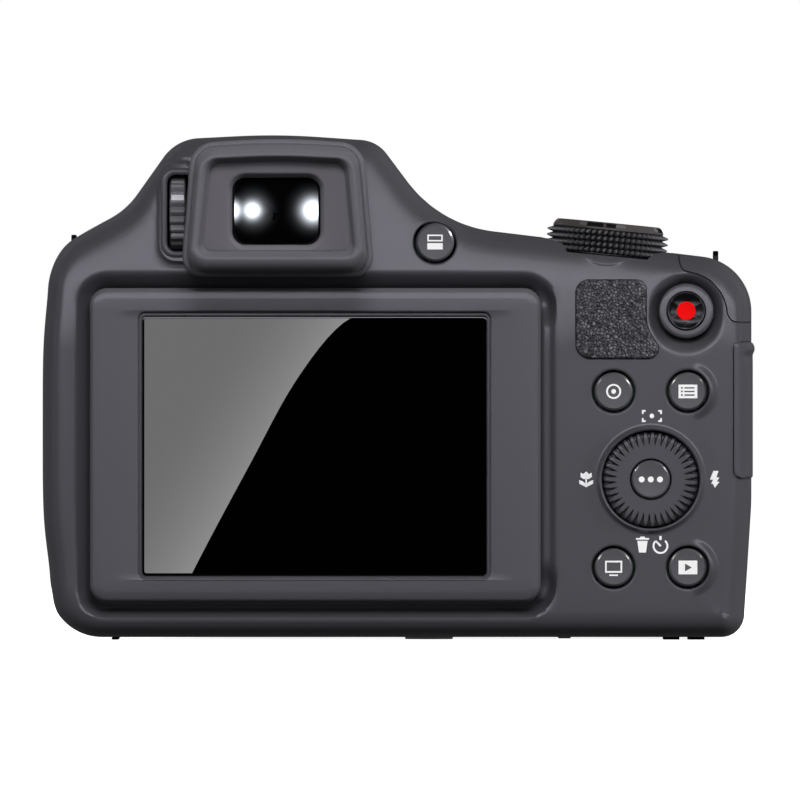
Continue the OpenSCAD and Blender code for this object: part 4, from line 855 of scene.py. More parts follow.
class CAMERA_OT_back(bpy.types.Operator):
    """Rear cover and the trim over its shoulder"""

    bl_idname = "camera_piece.back"
    bl_label = "Back covers"

    def execute(self, context):
        rim, flat, source, tris, middle = back_mesh()
        place, inward = on_back(flat)
        count = len(rim)
        rim_ids = np.full(count, -1)
        for i, o in enumerate(source):
            if 0 <= o < count:
                rim_ids[o] = i
        rim_y = BACK + EDGE_DEPTH
        place[rim_ids] = np.column_stack((rim[:, 0], rim_y + lean(rim[:, 1], rim_y), rim[:, 1]))
        inward[rim_ids] = np.column_stack((-rim[:, 2], np.zeros(count), -rim[:, 3]))
        rows, place, inward = side_rows(rim, place, inward, rim_ids)
        place[:, 0] += bow(place[:, 0], place[:, 2])
        wall, wall_middle = [], []
        for level, (upper, lower) in enumerate(zip(rows, rows[1:])):
            for k in range(count):
                m = (k + 1) % count
                z = (rim[k, 1] + rim[m, 1]) / 2
                if level < 3 and rim[k, 2] > 0.95 and PORT[0] - 0.1 < z < PORT[1] + 0.1:
                    continue
                wall += [(upper[m], upper[k], lower[k]), (upper[m], lower[k], lower[m])]
                wall_middle += [((rim[k, 0] + rim[m, 0]) / 2, z)] * 2
        tris = np.vstack((tris, np.array(wall)))
        middle = np.vstack((middle, np.array(wall_middle)))
        corner = np.array([(90, SEAM[-1][1]), (90, 90), (SEAM[0][0], 90)])
        trim = inside(middle, np.vstack((np.array(SEAM_LINE), corner)))
        thick = np.full(len(place), WALL)
        for name, node, part in (("rear_cover_shell", "rear_cover", tris[~trim]),
                                 ("shoulder_trim_cap", "shoulder_trim", tris[trim])):
            obj = shell_from(name, place, inward, part, thick)
            cut = turned("dial_cut", [(0, 0.1), (13.0, 0.1), (13.0, 12), (0, 12)], DIAL_AT, dial_axis(), 128)
            carve(cut, dial_mouth(), "UNION")
            modify(obj, "BOOLEAN", object=cut, operation="DIFFERENCE", solver="EXACT")
            bpy.data.objects.remove(cut)
            dress(obj, FINISH["shell"], nodes=(node,), angle=32)
        profile = [(0, -1.7), (12.5, -1.7), (12.85, -1.4), (12.9, -0.1), (12.8, 0.05), (12.6, 0.1), (0, 0.1)]
        seat = turned("dial_seat", profile, DIAL_AT, dial_axis(), 128)
        dress(seat, FINISH["shell"])
        return {"FINISHED"}


def dial_axis():
    """The direction that the dial's axis points in."""
    return (math.sin(DIAL_LEAN), 0, math.cos(DIAL_LEAN))


def frame_ring(outlines_and_depths, name):
    """A closed frame through matched outlines, each at its own depth."""
    return lofted(name, [at_depth(rows, y) for rows, y in outlines_and_depths], closed=True)


def box_rows(x, z, w, h, r, arc=10, side=24):
    """A box's outline with a fixed count of points, so that boxes match."""
    return rounded(box_corners(x, z, w, h, r), 1, arc, side)


class CAMERA_OT_screen(bpy.types.Operator):
    """Raised frame and cover glass of the rear screen"""

    bl_idname = "camera_piece.screen"
    bl_label = "Screen"

    def execute(self, context):
        x, z = SCREEN
        turn = sizes().screen_round / MM
        outer = box_rows(*BEZEL)
        opening = box_rows(x - 0.15, z - 0.1, 61.6, 46.7, 1.2)
        face = -25.2
        rings = [(inset(outer, 0.0), -20.4), (inset(outer, 0.0), face + turn)]
        for along, down in ((0.07, 0.66), (0.22, 0.42), (0.42, 0.25), (0.7, 0.16), (1.05, 0.11),
                            (1.9, 0.01), (2.1, 0.0)):
            rings.append((inset(outer, turn * along), face + turn * down))
        rings.append((box_rows(x, z, 71.2, 47.3, 1.6)[:, :2], face))
        for degrees in (0, 30, 60, 90):
            a = math.radians(degrees)
            rings.append((inset(opening, -0.3 + 0.3 * math.sin(a)), face + 0.3 * (1 - math.cos(a))))
        rings.append((inset(opening, 0.05), face + 0.75))
        rings.append((inset(opening, 1.6), face + 0.85))
        rings.append((inset(opening, 1.6), -22.2))
        obj = frame_ring(rings, "screen_frame")
        dress(obj, FINISH["frame"], nodes=("screen_bezel",))
        pane = box_rows(x - 0.15, z - 0.1, 60.3, 45.4, 0.8)
        low = -24.1
        top = -24.9
        rings = [at_depth(inset(pane, 0.02), low), at_depth(inset(pane, 0), top + 0.12)]
        rings += [at_depth(inset(pane, 0.035), top + 0.035), at_depth(inset(pane, 0.12), top),
                  at_depth(inset(pane, 0.4), top)]
        obj = lofted("screen_glass", rings)
        dress(obj, FINISH["glass"], nodes=("screen_window",))
        lip = box_rows(x - 0.15, z - 0.1, 61.4, 46.5, 1.1)
        seal = frame_ring([(inset(lip, 0), -24.15), (inset(lip, 0), -24.4), (inset(lip, 0.08), -24.5),
                           (inset(lip, 0.42), -24.5), (inset(lip, 0.5), -24.42), (inset(lip, 0.5), -24.15)],
                          "screen_seal")
        dress(seal, FINISH["frame"])
        return {"FINISHED"}


class CAMERA_OT_finder(bpy.types.Operator):
    """Eyecup, eyepiece frame, eyepiece glass and the dioptre wheel with its surround"""

    bl_idname = "camera_piece.finder"
    bl_label = "Viewfinder"

    def execute(self, context):
        cup = rounded(CUP_OUTLINE, 1, 14, 16)
        face = rounded(FACE_OUTLINE, 1, 14, 16)
        up, down = np.maximum(0, cup[:, 3]), np.maximum(0, -cup[:, 3])
        start = (0.30 - 0.06 * up - 0.10 * down)[:, None]
        crest = (0.52 + 0.2 * up + 0.22 * down)[:, None]
        low, high, floor = -24.6, -34.6, -33.0
        foot = ((1.3, -20.0), (1.3, -22.2), (0.1, -22.3), (0, -22.5), (0, -24.0), (0.08, -24.35),
                (0.25, -24.55))
        rings = [at_depth(inset(cup, d), y) for d, y in foot]
        between = face[:, :2] - cup[:, :2]
        for t, y in ((0.55, low), (0.9, low + 0.06), (0.97, low - 0.1)):
            rings.append(at_depth(cup[:, :2] + between * (0.06 + (start - 0.06) * t), y))
        rings.append(at_depth(cup[:, :2] + between * start, (low + high) / 2))
        for degrees in range(0, 91, 7):
            a = math.radians(degrees)
            t = crest - (crest - start) * math.cos(a)
            rings.append(at_depth(cup[:, :2] + between * t, high + 1.9 * (1 - math.sin(a))))
        inner = 0.79
        for u in (0.25, 0.5, 0.75, 1.0):
            rings.append(at_depth(cup[:, :2] + between * (crest + (inner - crest) * u), high + 0.2 * u * u))
        for t, y in ((0.805, high + 0.25), (0.82, high + 0.34), (0.838, high + 0.52), (0.92, floor - 0.36),
                     (0.94, floor - 0.16), (0.96, floor - 0.05), (0.98, floor - 0.01), (1.0, floor)):
            rings.append(at_depth(cup[:, :2] + between * t, y))
        rings.append(at_depth(inset(face, 0.02), floor + 1.5))
        rings.append(at_depth(inset(face, 0.02), -20.0))
        obj = lofted("eyecup_rubber", rings, closed=True)
        dress(obj, FINISH["cup"], nodes=("eyecup",), angle=50)
        x, z = EYEPIECE
        corners = box_corners(x, z, 15.4, 11.8, 2.3)
        corners.insert(3, (x, z + 5.9, 120))
        window = rounded(corners, 1, 14, 16)
        y = floor
        plate = [(inset(face, 0.03), -24.0), (inset(face, 0.03), y + 0.04), (inset(face, 0.06), y + 0.01),
                 (inset(face, 0.12), y)]
        for d, deep in ((-0.95, 0), (-0.75, 0.03), (-0.5, 0.28), (-0.25, 0.7), (-0.1, 1.1), (0.0, 1.5),
                        (0.02, 3.4)):
            plate.append((inset(window, d), y + deep))
        plate.append((inset(window, 0.5), -24.0))
        obj = frame_ring(plate, "eyepiece_plate")
        dress(obj, FINISH["face"], nodes=("eyepiece_frame",), angle=50)
        ball = 40.0
        rings = []
        for scale in (1.0, 0.995, 0.97, 0.9, 0.78, 0.62, 0.45, 0.28, 0.12, 0.04):
            ring = [(x + (p[0] - x) * scale, 0, z + (p[1] - z) * scale) for p in inset(window, 0.05)]
            rings.append([(px, -31.4 + ball - math.sqrt(ball ** 2 - (px - x) ** 2 - (pz - z) ** 2), pz)
                          for px, _, pz in ring])
        rings.insert(0, [(p[0], -25.6, p[2]) for p in rings[0]])
        obj = lofted("eyepiece_glass", rings)
        dress(obj, FINISH["eyepiece"], nodes=("eyepiece_lens",), angle=40)
        self.dioptre()
        return {"FINISHED"}

    def dioptre(self):
        """The wheel with its raised marker rib, and the rim moulded round it."""
        x, y, z = DIOPTRE
        x += 0.45
        teeth, half, radius = 24, 1.4, 6.8
        rings = []
        for offset, shrink in ((-half, 0.55), (-half + 0.1, 0.25), (-half + 0.3, 0.0), (half - 0.3, 0.0),
                               (half - 0.1, 0.25), (half, 0.55)):
            ring = []
            for k in range(teeth * 10):
                a = 2 * math.pi * k / (teeth * 10)
                wave = (0.5 + 0.5 * math.cos(a * teeth)) ** 0.6
                r = radius - 0.62 * (1 - wave) - shrink
                ring.append((x + offset, y + r * math.cos(a), z + r * math.sin(a)))
            rings.append(ring)
        hub = disc(y, z, 1.2, 48)
        obj = lofted("dioptre_rim", rings)
        shaft = lofted("shaft", [[(x + o, u, v) for u, v in hub] for o in (half - 0.2, 5.4)])
        carve(obj, shaft, "UNION")
        dress(obj, FINISH["dial"], "dioptre", ("dioptre_wheel",), angle=28)
        a = math.radians(180 - 21)
        across = Vector((0, -math.sin(a), math.cos(a)))
        out = Vector((0, math.cos(a), math.sin(a)))
        middle = Vector((x, y, z)) + out * 6.75
        rings = []
        for lift, w in ((-0.6, 0.62), (-0.12, 0.6), (-0.03, 0.5), (0.01, 0.3)):
            rings.append([middle + out * lift + across * (w * i) + Vector((1.12 * k, 0, 0))
                          for i, k in ((-1, -1), (1, -1), (1, 1), (-1, 1))])
        mark = lofted("dioptre_mark", rings)
        dress(mark, FINISH["pale"], "dioptre", angle=50)
        outer = rounded(box_corners(-43.8, 74.75, 6.4, 15.8, 2.4), 1, 10, 16)
        inner = rounded(box_corners(-43.5, 74.75, 4.6, 13.4, 1.5), 1, 10, 16)
        face = -23.9
        rings = [(inset(outer, 0), -17.0), (inset(outer, 0), face + 0.5), (inset(outer, 0.15), face + 0.15),
                 (inset(outer, 0.5), face), (inset(inner, -0.4), face), (inset(inner, -0.1), face + 0.12),
                 (inset(inner, 0), face + 0.4), (inset(inner, 0), -17.0)]
        obj = frame_ring(rings, "dioptre_surround")
        dress(obj, FINISH["shell"], angle=45)


def key_profile(r, face, dish=0.05, edge=0.4, long=4.2):
    """Half section of a round key: dished face, bevelled edge, straight skirt."""
    return [(0, face + dish), (r * 0.45, face + dish * 0.75), (r - edge - 0.25, face + 0.01),
            (r - edge, face), (r - edge + 0.05, face + 0.03), (r - 0.12, face + edge - 0.14),
            (r - 0.04, face + edge - 0.02), (r, face + edge + 0.15), (r, face + long), (0, face + long)]


class CAMERA_OT_keys(bpy.types.Operator):
    """Round keys, four-way ring, middle key and record key"""

    bl_idname = "camera_piece.keys"
    bl_label = "Keys"

    def execute(self, context):
        for name, (x, z) in KEYS.items():
            obj = turned(name + "_key", key_profile(KEY_RADIUS, KEY_FACE), (x, 0, z), steps=96)
            dress(obj, FINISH["key"], name, (name + "_button",))
        x, z = EVF_KEY
        obj = turned("finder_key", key_profile(KEY_RADIUS, EVF_FACE, long=1.9), (x, 0, z), steps=96)
        dress(obj, FINISH["key"], "evf_key", ("evf_button",))
        x, z = NAV
        obj = turned("set_key", key_profile(3.38, SET_FACE, dish=0.12, edge=0.35), (x, 0, z), steps=96)
        dress(obj, FINISH["key"], "set", ("set_button",))
        self.ring()
        self.record()
        return {"FINISHED"}

    def ring(self):
        """The four-way ring: V grooves that open towards its rim."""
        x, z = NAV
        grooves = sizes().nav_grooves
        per, start = 14, 5.95
        face, foot = RING_FACE, -21.9
        radii = [(3.6, foot), (3.6, face + 0.2), (3.65, face + 0.06)]
        radii += [(r, face) for r in (3.74, 3.82, 4.9, 5.6, start, 6.25, 6.6, 7.0, 7.4)]
        radii += [(7.7, face + 0.02), (7.95, face + 0.08), (8.15, face + 0.2), (8.27, face + 0.42),
                  (8.3, face + 0.7), (8.3, foot)]
        rings = []
        for r, y in radii:
            ring = []
            for k in range(grooves * per):
                a = 2 * math.pi * k / (grooves * per)
                t = abs((k / per) % 1 - 0.5) * 2
                width = max(0.0, (r - start) / 2.35) * 0.7
                cut = 0.0
                if width > 0.02 and y < face + 0.8:
                    cut = 0.85 * min(1, 1.6 * max(0.0, 1 - (1 - t) / width))
                depth = y + cut * min(1, (r - start) / 0.8)
                ring.append((x + r * math.cos(a), depth, z + r * math.sin(a)))
            rings.append(ring)
        obj = lofted("four_way_ring", rings, closed=True)
        dress(obj, FINISH["frame"], "nav", ("nav_ring",), angle=24)

    def record(self):
        """The record key: a lacquered dish with a red dot at its bottom."""
        x, z = RECORD
        ball, r, edge = 12.0, 3.42, RECORD_FACE

        def dish(q):
            return edge + math.sqrt(ball ** 2 - q * q) - math.sqrt(ball ** 2 - 3.15 ** 2)

        rows = [(q, dish(q)) for q in (0.05, 0.6, 1.2, 1.6, 2.0, 2.4, 2.8, 3.15)]
        rows += [(3.28, edge + 0.02), (3.38, edge + 0.1), (r, edge + 0.24), (r, -21.5)]
        rings = []
        for q, y in rows:
            ring = []
            for k in range(144):
                a = 2 * math.pi * k / 144
                pleat = 0.16 * abs(math.cos(3 * a + 0.2)) * ease((q - 1.3) / 0.6) * ease((3.2 - q) / 0.5)
                ring.append((x + q * math.cos(a), y + float(pleat), z + q * math.sin(a)))
            rings.append(ring)
        obj = lofted("record_dish", rings)
        dress(obj, FINISH["lacquer"], "record", ("record_button",), angle=40)
        rows = [(q, dish(q) - 0.035) for q in (0, 0.5, 1.0, 1.4, 1.58)]
        rows += [(1.63, dish(1.63) + 0.0), (1.6, dish(1.6) + 0.1), (0, dish(0) + 0.1)]
        obj = turned("record_dot", rows, (x, 0, z), steps=72)
        dress(obj, FINISH["red"], "record", angle=50)


def disc(u, v, r, parts=24):
    """A round dot."""
    turns = [2 * math.pi * k / parts for k in range(parts)]
    return [(u + r * math.cos(a), v + r * math.sin(a)) for a in turns]


def bar(u0, v0, u1, v1):
    """An upright bar between two corners."""
    return [(u0, v0), (u1, v0), (u1, v1), (u0, v1)]


def arc_band(u, v, r0, r1, start, end, parts=20):
    """A band of a circle as small four-sided pieces, angles in degrees."""
    out = []
    for k in range(parts):
        a, b = (math.radians(start + (end - start) * i / parts) for i in (k, k + 1))
        ends = ((r0, a), (r1, a), (r1, b), (r0, b))
        out.append([(u + r * math.cos(t), v + r * math.sin(t)) for r, t in ends])
    return out


def outline_box(u, v, w, h, t):
    """The four sides of an open box."""
    return [bar(u - w, v - h, u + w, v - h + t), bar(u - w, v + h - t, u + w, v + h),
            bar(u - w, v - h + t, u - w + t, v + h - t), bar(u + w - t, v - h + t, u + w, v + h - t)]


def marks():
    """Every printed mark, as (name, place, depth of its face, body, ink, shapes)."""
    plate = bar(-1.65, -1.2, 1.65, 1.2)
    lines = [bar(-0.6, v - 0.12, 1.15, v + 0.12) for v in (-0.62, 0, 0.62)]
    dots = [disc(-1.05, v, 0.17, 12) for v in (-0.62, 0, 0.62)]
    arrow = [(-0.5, -0.68), (0.68, 0), (-0.5, 0.68)]
    leaf = [(0.1, -1.3), (1.2, -0.75), (1.25, -0.1), (0.75, -0.25), (0.12, -0.7)]
    other_leaf = [(-u, v) for u, v in leaf[::-1]]
    petal = [(0, 0.1), (0.45, 0.05), (1.0, 0.45), (0.95, 1.2), (0.5, 0.95), (0, 1.4), (-0.5, 0.95),
             (-0.95, 1.2), (-1.0, 0.45), (-0.45, 0.05)]
    bolt = [(0.1, -1.5), (0.95, -0.4), (0.45, -0.4), (0.9, 0.35), (0.4, 0.35), (0.75, 1.5), (-0.15, 1.5),
            (-0.75, -0.05), (-0.2, -0.05), (-0.55, -0.75), (-0.2, -0.75)]
    corner = [bar(1.1, 0.75, 1.75, 1.05), bar(1.45, 0.35, 1.75, 0.75)]
    corners = [[(u * i, v * k) for u, v in (shape if i * k > 0 else shape[::-1])]
               for i in (-1, 1) for k in (-1, 1) for shape in corner]
    can = [(-0.62, -1.4), (0.62, -1.4), (0.9, 0.65), (-0.9, 0.65)]
    hand = [(-0.95, 0.85), (-0.75, 1.02), (0.2, 0.12), (0.0, -0.12), (-0.2, -0.05)]
    return [
        ("info_mark", KEYS["info"], KEY_FACE, "info", "ink",
         arc_band(0, 0, 1.0, 1.32, 0, 360, 32) + [disc(0, 0, 0.42)]),
        ("menu_mark", KEYS["menu"], KEY_FACE, "menu", "ink", [plate]),
        ("menu_lines", KEYS["menu"], KEY_FACE - 0.03, "menu", "key", lines + dots),
        ("display_mark", KEYS["display"], KEY_FACE, "display", "ink",
         outline_box(0, 0.12, 1.5, 1.05, 0.3) + [bar(-0.75, -1.5, 0.75, -1.22)]),
        ("playback_mark", KEYS["playback"], KEY_FACE, "playback", "ink", [plate]),
        ("playback_arrow", KEYS["playback"], KEY_FACE - 0.03, "playback", "key", [arrow]),
        ("finder_mark", EVF_KEY, EVF_FACE, "evf_key", "ink",
         outline_box(0, 0.75, 1.35, 0.6, 0.26) + [bar(-1.35, -1.25, 1.35, -0.15)]),
        ("set_mark", NAV, -24.44, "set", "ink", [disc(u, 0, 0.52) for u in (-1.6, 0, 1.6)]),
        ("focus_mark", (39.0, 39.2), BACK, BODY, "ink", corners + [disc(0, 0, 0.4)]),
        ("close_mark", (27.5, 28.1), BACK, BODY, "ink",
         [petal, leaf, other_leaf, bar(-0.14, -1.35, 0.14, 0.2)]),
        ("flash_mark", (49.9, 28.1), BACK, BODY, "ink", [bolt]),
        ("erase_mark", (37.35, 16.7), BACK, BODY, "ink",
         [can, bar(-1.15, 0.85, 1.15, 1.15), bar(-0.4, 1.15, 0.4, 1.4)]),
        ("timer_mark", (40.5, 16.45), BACK, BODY, "ink",
         arc_band(0, 0, 1.05, 1.38, -225, 50, 26) + [hand, bar(-0.2, 1.05, 0.2, 1.75)]),
    ]


class CAMERA_OT_marks(bpy.types.Operator):
    """Printed pictograms on the keys and round the four-way ring"""

    bl_idname = "camera_piece.marks"
    bl_label = "Printed marks"

    def execute(self, context):
        for name, (x, z), y, body, ink, shapes in marks():
            verts, faces = [], []
            for shape in shapes:
                first, n = len(verts), len(shape)
                for depth in (y - 0.03, y + 0.12):
                    verts += [(x + u, depth, z + v) for u, v in shape]
                faces.append(tuple(range(first, first + n)))
                faces.append(tuple(range(first + 2 * n - 1, first + n - 1, -1)))
                for k in range(n):
                    a, b = first + k, first + (k + 1) % n
                    faces.append((b, a, a + n, b + n))
            obj = mesh_piece(name, verts, faces)
            dress(obj, FINISH[ink], body)
        return {"FINISHED"}


def grain_height(points, cell, seed):
    """Leather grain: soft lumps, the creases between them falling to 0 and the crests rising to 1."""
    rng = np.random.default_rng(seed)
    low, high = points.min(0) - 3 * cell, points.max(0) + 3 * cell
    nx, nz = (int(n) for n in np.ceil((high - low) / cell))
    seeds = np.array([(low[0] + (i + 0.5 + rng.uniform(-0.48, 0.48)) * cell,
                       low[1] + (k + 0.5 + rng.uniform(-0.48, 0.48)) * cell)
                      for i in range(nx) for k in range(nz)])
    rise = rng.uniform(0.35, 1.0, len(seeds))
    out = np.empty(len(points))
    for i in range(0, len(points), 1000):
        part = points[i:i + 1000]
        d = np.hypot(part[:, None, 0] - seeds[None, :, 0], (part[:, None, 1] - seeds[None, :, 1]))
        order = np.argpartition(d, 2, axis=1)[:, :2]
        near = np.take_along_axis(d, order, 1)
        first = order[np.arange(len(part)), near.argmin(1)]
        gap = near.max(1) - near.min(1)
        out[i:i + 1000] = rise[first] * np.sqrt(np.clip(gap / (0.75 * cell), 0, 1))
    return out


class CAMERA_OT_pads(bpy.types.Operator):
    """Thumb rest with its cast leather grain"""

    bl_idname = "camera_piece.pads"
    bl_label = "Thumb rest"

    def execute(self, context):
        outline = rounded(PAD, 0.18)
        insets = (0, 0.06, 0.16, 0.3, 0.5)
        loops = [inset(outline, d) for d in insets]
        points = [tuple(p) for loop in loops for p in loop]
        n = len(outline)
        edges = [(j * n + i, j * n + (i + 1) % n) for j in range(len(loops)) for i in range(n)]
        step = 0.13
        grid = np.array([(px, pz) for px in np.arange(25, 43, step) for pz in np.arange(49, 64, step)])
        grid = grid[inside(grid, inset(outline, 0.6))]
        points += [tuple(p) for p in grid]
        made = delaunay_2d_cdt([Vector(p) for p in points], edges, [], 0, 1e-6)
        flat = np.array([tuple(p) for p in made[0]])
        tris = np.array([f for f in made[2] if len(f) == 3])
        tris = tris[inside(flat[tris].mean(1), outline[:, :2])]
        edge = np.full(len(flat), 1.0)
        for loop, d in zip(loops, insets):
            for i in range(0, len(flat), 2000):
                gap = np.sqrt(((flat[i:i + 2000, None, :] - loop[None, :, :]) ** 2).sum(2)).min(1)
                edge[i:i + 2000] = np.where(gap < 0.01, d, edge[i:i + 2000])
        cell = sizes().pad_grain / MM
        warp = np.column_stack((0.1 * np.sin(flat[:, 1] * 1.9 + 1), 0.1 * np.sin(flat[:, 0] * 2.3)))
        coarse = grain_height(flat + warp, cell * 1.18, 3)
        grain = 0.75 * coarse + 0.25 * grain_height(flat - warp, cell * 0.62, 8)
        grain = np.clip((grain - 0.1) / 0.7, 0, 1)
        round_over = 0.45 * (1 - np.sqrt(1 - (1 - np.clip(edge / 0.5, 0, 1)) ** 2))
        y = -24.35 + round_over - 0.34 * grain * ease(edge / 0.4) + lean(flat[:, 1], BACK)
        place = np.column_stack((flat[:, 0], y, flat[:, 1]))
        inward = np.tile((0.0, 1.0, 0.0), (len(place), 1))
        obj = shell_from("thumb_rest", place, inward, tris, -23.0 - y)
        count = len(obj.data.vertices)
        used = np.unique(tris)
        # The grain height also sets the pad's colour: painted shade in the pits, a painted highlight on the
        # crests
        layer = obj.data.attributes.new("grain", "FLOAT", "POINT")
        values = np.zeros(count)
        values[:len(used)] = grain[used]
        layer.data.foreach_set("value", values)
        dress(obj, FINISH["pad"], nodes=("thumb_pad",), angle=40)
        return {"FINISHED"}


# Top, side and lens


def lean_over(obj):
    """Turns a piece made upright at the dial's place to the dial's own lean."""
    place = Vector(DIAL_AT) * MM
    turn = Matrix.Translation(place) @ Matrix.Rotation(DIAL_LEAN, 4, "Y") @ Matrix.Translation(-place)
    obj.data.transform(turn)
    return obj


class CAMERA_OT_dial(bpy.types.Operator):
    """Mode dial: knurled rim, cap and its printed blocks"""

    bl_idname = "camera_piece.dial"
    bl_label = "Mode dial"

    def execute(self, context):
        x, y, z = DIAL_AT
        around = sizes().knurl
        rows, row_high = 4, 1.04
        tip, root = 10.65, 9.6
        rings = [[(9.3, 0.2)] * around * 2, [(9.5, 0.25)] * around * 2, [(root, 0.32)] * around * 2]
        low = 0.4
        for row in range(rows):
            middle = low + row_high * (row + 0.5)
            rings.append([(root, low + row_high * row + 0.02)] * around * 2)
            for half in (-0.13, 0.13):
                rings.append([(tip if k % 2 else root, middle + half) for k in range(around * 2)])
        top = low + rows * row_high
        rings.append([(root, top)] * around * 2)
        rings.append([(9.7, top + 0.25)] * around * 2)
        rings.append([(9.0, top + 0.3)] * around * 2)
        turns = [math.pi * k / around for k in range(around * 2)]
        solid = []
        for ring in rings:
            solid.append([(x + r * math.cos(a), y + r * math.sin(a), z + h) for a, (r, h) in zip(turns, ring)])
        obj = lofted("dial_knurl", solid)
        # Painted shade: the knurl's colour is darkened from the pyramids' tips to their roots
        far = [math.hypot(v.co.x / MM - x, v.co.y / MM - y) for v in obj.data.vertices]
        self.paint_root_shade(obj, [min(1.0, (tip - r) / (tip - root)) for r in far])
        dress(lean_over(obj), FINISH["dial"], "dial", ("mode_dial",), angle=12)
        base = z + top + 0.1
        profile = [(0, 0), (9.65, 0), (9.72, 0.06), (9.72, 0.22), (9.62, 0.34), (9.1, 1.12), (8.95, 1.24),
                   (8.75, 1.28), (7.6, 1.22), (7.4, 1.12), (0, 1.12)]
        obj = turned("dial_cap_disc", profile, (x, y, base), (0, 0, 1), 160)
        dress(lean_over(obj), FINISH["cap"], "dial", ("mode_dial_cap",), angle=24)
        for i in range(4):
            for k, (offset, half, ink) in enumerate(((-14.8, 9.0, "dark_ink"), (2.2, 5.0, "dark_ink"),
                                                     (-28.5, 4.2, "pale_ink"), (12.9, 5.2, "pale_ink"))):
                middle = -math.pi / 2 + math.radians(90 * i + offset)
                self.block(f"dial_mark_{i}_{k}", (x, y, base), middle, math.radians(half), ink)
        return {"FINISHED"}

    def paint_root_shade(self, obj, values):
        """Tells the finish how deep each point lies between the pyramids, so that it paints shade darker
        towards the roots.
        """
        obj.data.attributes.new("crease", "FLOAT", "POINT").data.foreach_set("value", values)

    def block(self, name, place, middle, half, finish):
        """One printed block on the cap's slope, slightly proud of it."""
        rings = []
        for r, h in ((9.57, 0.40), (9.16, 1.03)):
            for lift in (-0.1, 0.07):
                rings.append([(place[0] + (r + lift) * math.cos(middle + half * t),
                               place[1] + (r + lift) * math.sin(middle + half * t), place[2] + h + lift * 0.6)
                              for t in (-1, -0.5, 0, 0.5, 1)])
        loops = [rings[0] + rings[2][::-1], rings[1] + rings[3][::-1]]
        obj = lofted(name, loops)
        dress(lean_over(obj), FINISH[finish], "dial")


class CAMERA_OT_port(bpy.types.Operator):
    """Rubber cover over the sockets, with its lip and the nail dimple"""

    bl_idname = "camera_piece.port"
    bl_label = "Port cover"

    def execute(self, context):
        low, high = PORT
        path = []
        for degrees in (18, 26, 34, 42, 50, 58, 66, 74, 82, 90):
            a = math.radians(degrees)
            sine = math.sin(a) ** EDGE_POWER
            cosine = math.sqrt(max(0.0, 1 - sine * sine))
            n = Vector((EDGE_DEPTH * sine, -EDGE_INSET * cosine)).normalized()
            path.append((RIGHT - EDGE_INSET * (1 - math.sin(a)), BACK + EDGE_DEPTH * (1 - cosine), n))
        for y in (-14.8, -13.6, -12.4, -11.2):
            path.append((RIGHT, y, Vector((1, 0))))
        rings = []
        heights = [low + 1.2 * (1 - math.cos(math.radians(a))) for a in (0, 20, 40, 60, 90)]
        heights += list(np.linspace(low + 1.8, high - 2.6, 22)) + [high - 2.2, high - 1.8, high - 1.4]
        heights += [high - 0.9 * (1 - math.cos(math.radians(a))) for a in (90, 60, 40, 20, 0)]
        for z in heights:
            corner = max(0.0, low + 1.2 - z) / 1.2
            pull = 1.2 * (1 - math.sqrt(max(0.0, 1 - corner * corner)))
            edge = min(z - low, high - z)
            proud = 0.25 - 0.28 * max(0.0, 1 - edge / 0.35) ** 2
            outer, inner = [], []
            for i, (px, py, n) in enumerate(path):
                along = i / (len(path) - 1)
                rise = proud - 0.28 * max(0.0, 1 - i / 0.9) ** 2
                lip = math.exp(-((z - high + 1.15) / 0.75) ** 4) * ease((along - 0.2) / 0.18)
                dent = math.exp(-((z - high + 2.6) / 0.7) ** 2 - ((along - 0.4) / 0.16) ** 2)
                d = rise + 0.32 * lip - 0.5 * dent
                qx, qy = px + n.x * d, py + n.y * d
                shift = pull * max(0.0, 1 - i / 4)
                outer.append((qx + shift, qy, z))
                inner.append((px - n.x * 1.3 + shift, py - n.y * 1.3, z))
            rings.append(outer + inner[::-1])
        obj = lofted("port_cover_flap", rings)
        dress(obj, FINISH["frame"], "port_flap", ("port_cover",), angle=40)
        return {"FINISHED"}


# Solids that only need their edges rounded and a finish: node, body, slot, finish, rounding
ROUNDED = [
    ("front_cover", BODY, "shell_plastic", "shell", 0.2), ("top_cover", BODY, "shell_plastic", "shell", 0.2),
    ("control_deck", BODY, "shell_plastic", "shell", 0.2),
    ("grip_shell", BODY, "shell_plastic", "shell", 0.2),
    ("grip_rubber", BODY, "grip_skin", "grip", 0.3), ("strap_lugs", BODY, "steel", "oxide", 0.15),
    ("tripod_bush", BODY, "bush_metal", "bush", 0.15), ("feet", BODY, "soft_rubber", "rubber", 0.12),
    ("case_screws", BODY, "steel", "steel", 0.08),
    ("battery_door", "door", "shell_plastic", "shell", 0.2),
    ("battery_latch", "latch", "black_plastic", "black", 0.1),
    ("flash_head", "flash", "shell_plastic", "shell", 0.3),
    ("flash_window", "flash", "flash_plastic", "flash", 0.2),
    ("shutter_button", "shutter", "key_plastic", "key", 0.2),
    ("zoom_lever", "zoom", "key_plastic", "key", 0.25), ("power_button", "power", "key_plastic", "key", 0.2),
    ("lens_fixed_barrel", BODY, "black_plastic", "black", 0.3),
    ("lens_grip_ring", BODY, "soft_rubber", "rubber", 0.1),
    ("lens_middle_barrel", "lens_middle", "black_plastic", "black", 0.25),
    ("lens_front_barrel", "lens_front", "black_plastic", "black", 0.3),
]
# Inner solids that stay as they are: node and finish
INNER = {
    "screen_module": "panel", "evf_housing": "black", "evf_display": "panel", "chassis": "steel",
    "main_board": "board", "key_board": "board", "battery_bay": "black", "battery": "battery",
    "memory_card": "card", "battery_door_pin": "steel", "port_sockets": "pcb_metal", "lens_housing": "black",
    "rear_element": "lens", "image_sensor": "panel", "zoom_motor": "steel",
    "flash_hinge_pin": "steel", "dial_base": "black", "nav_pad": "black",
}


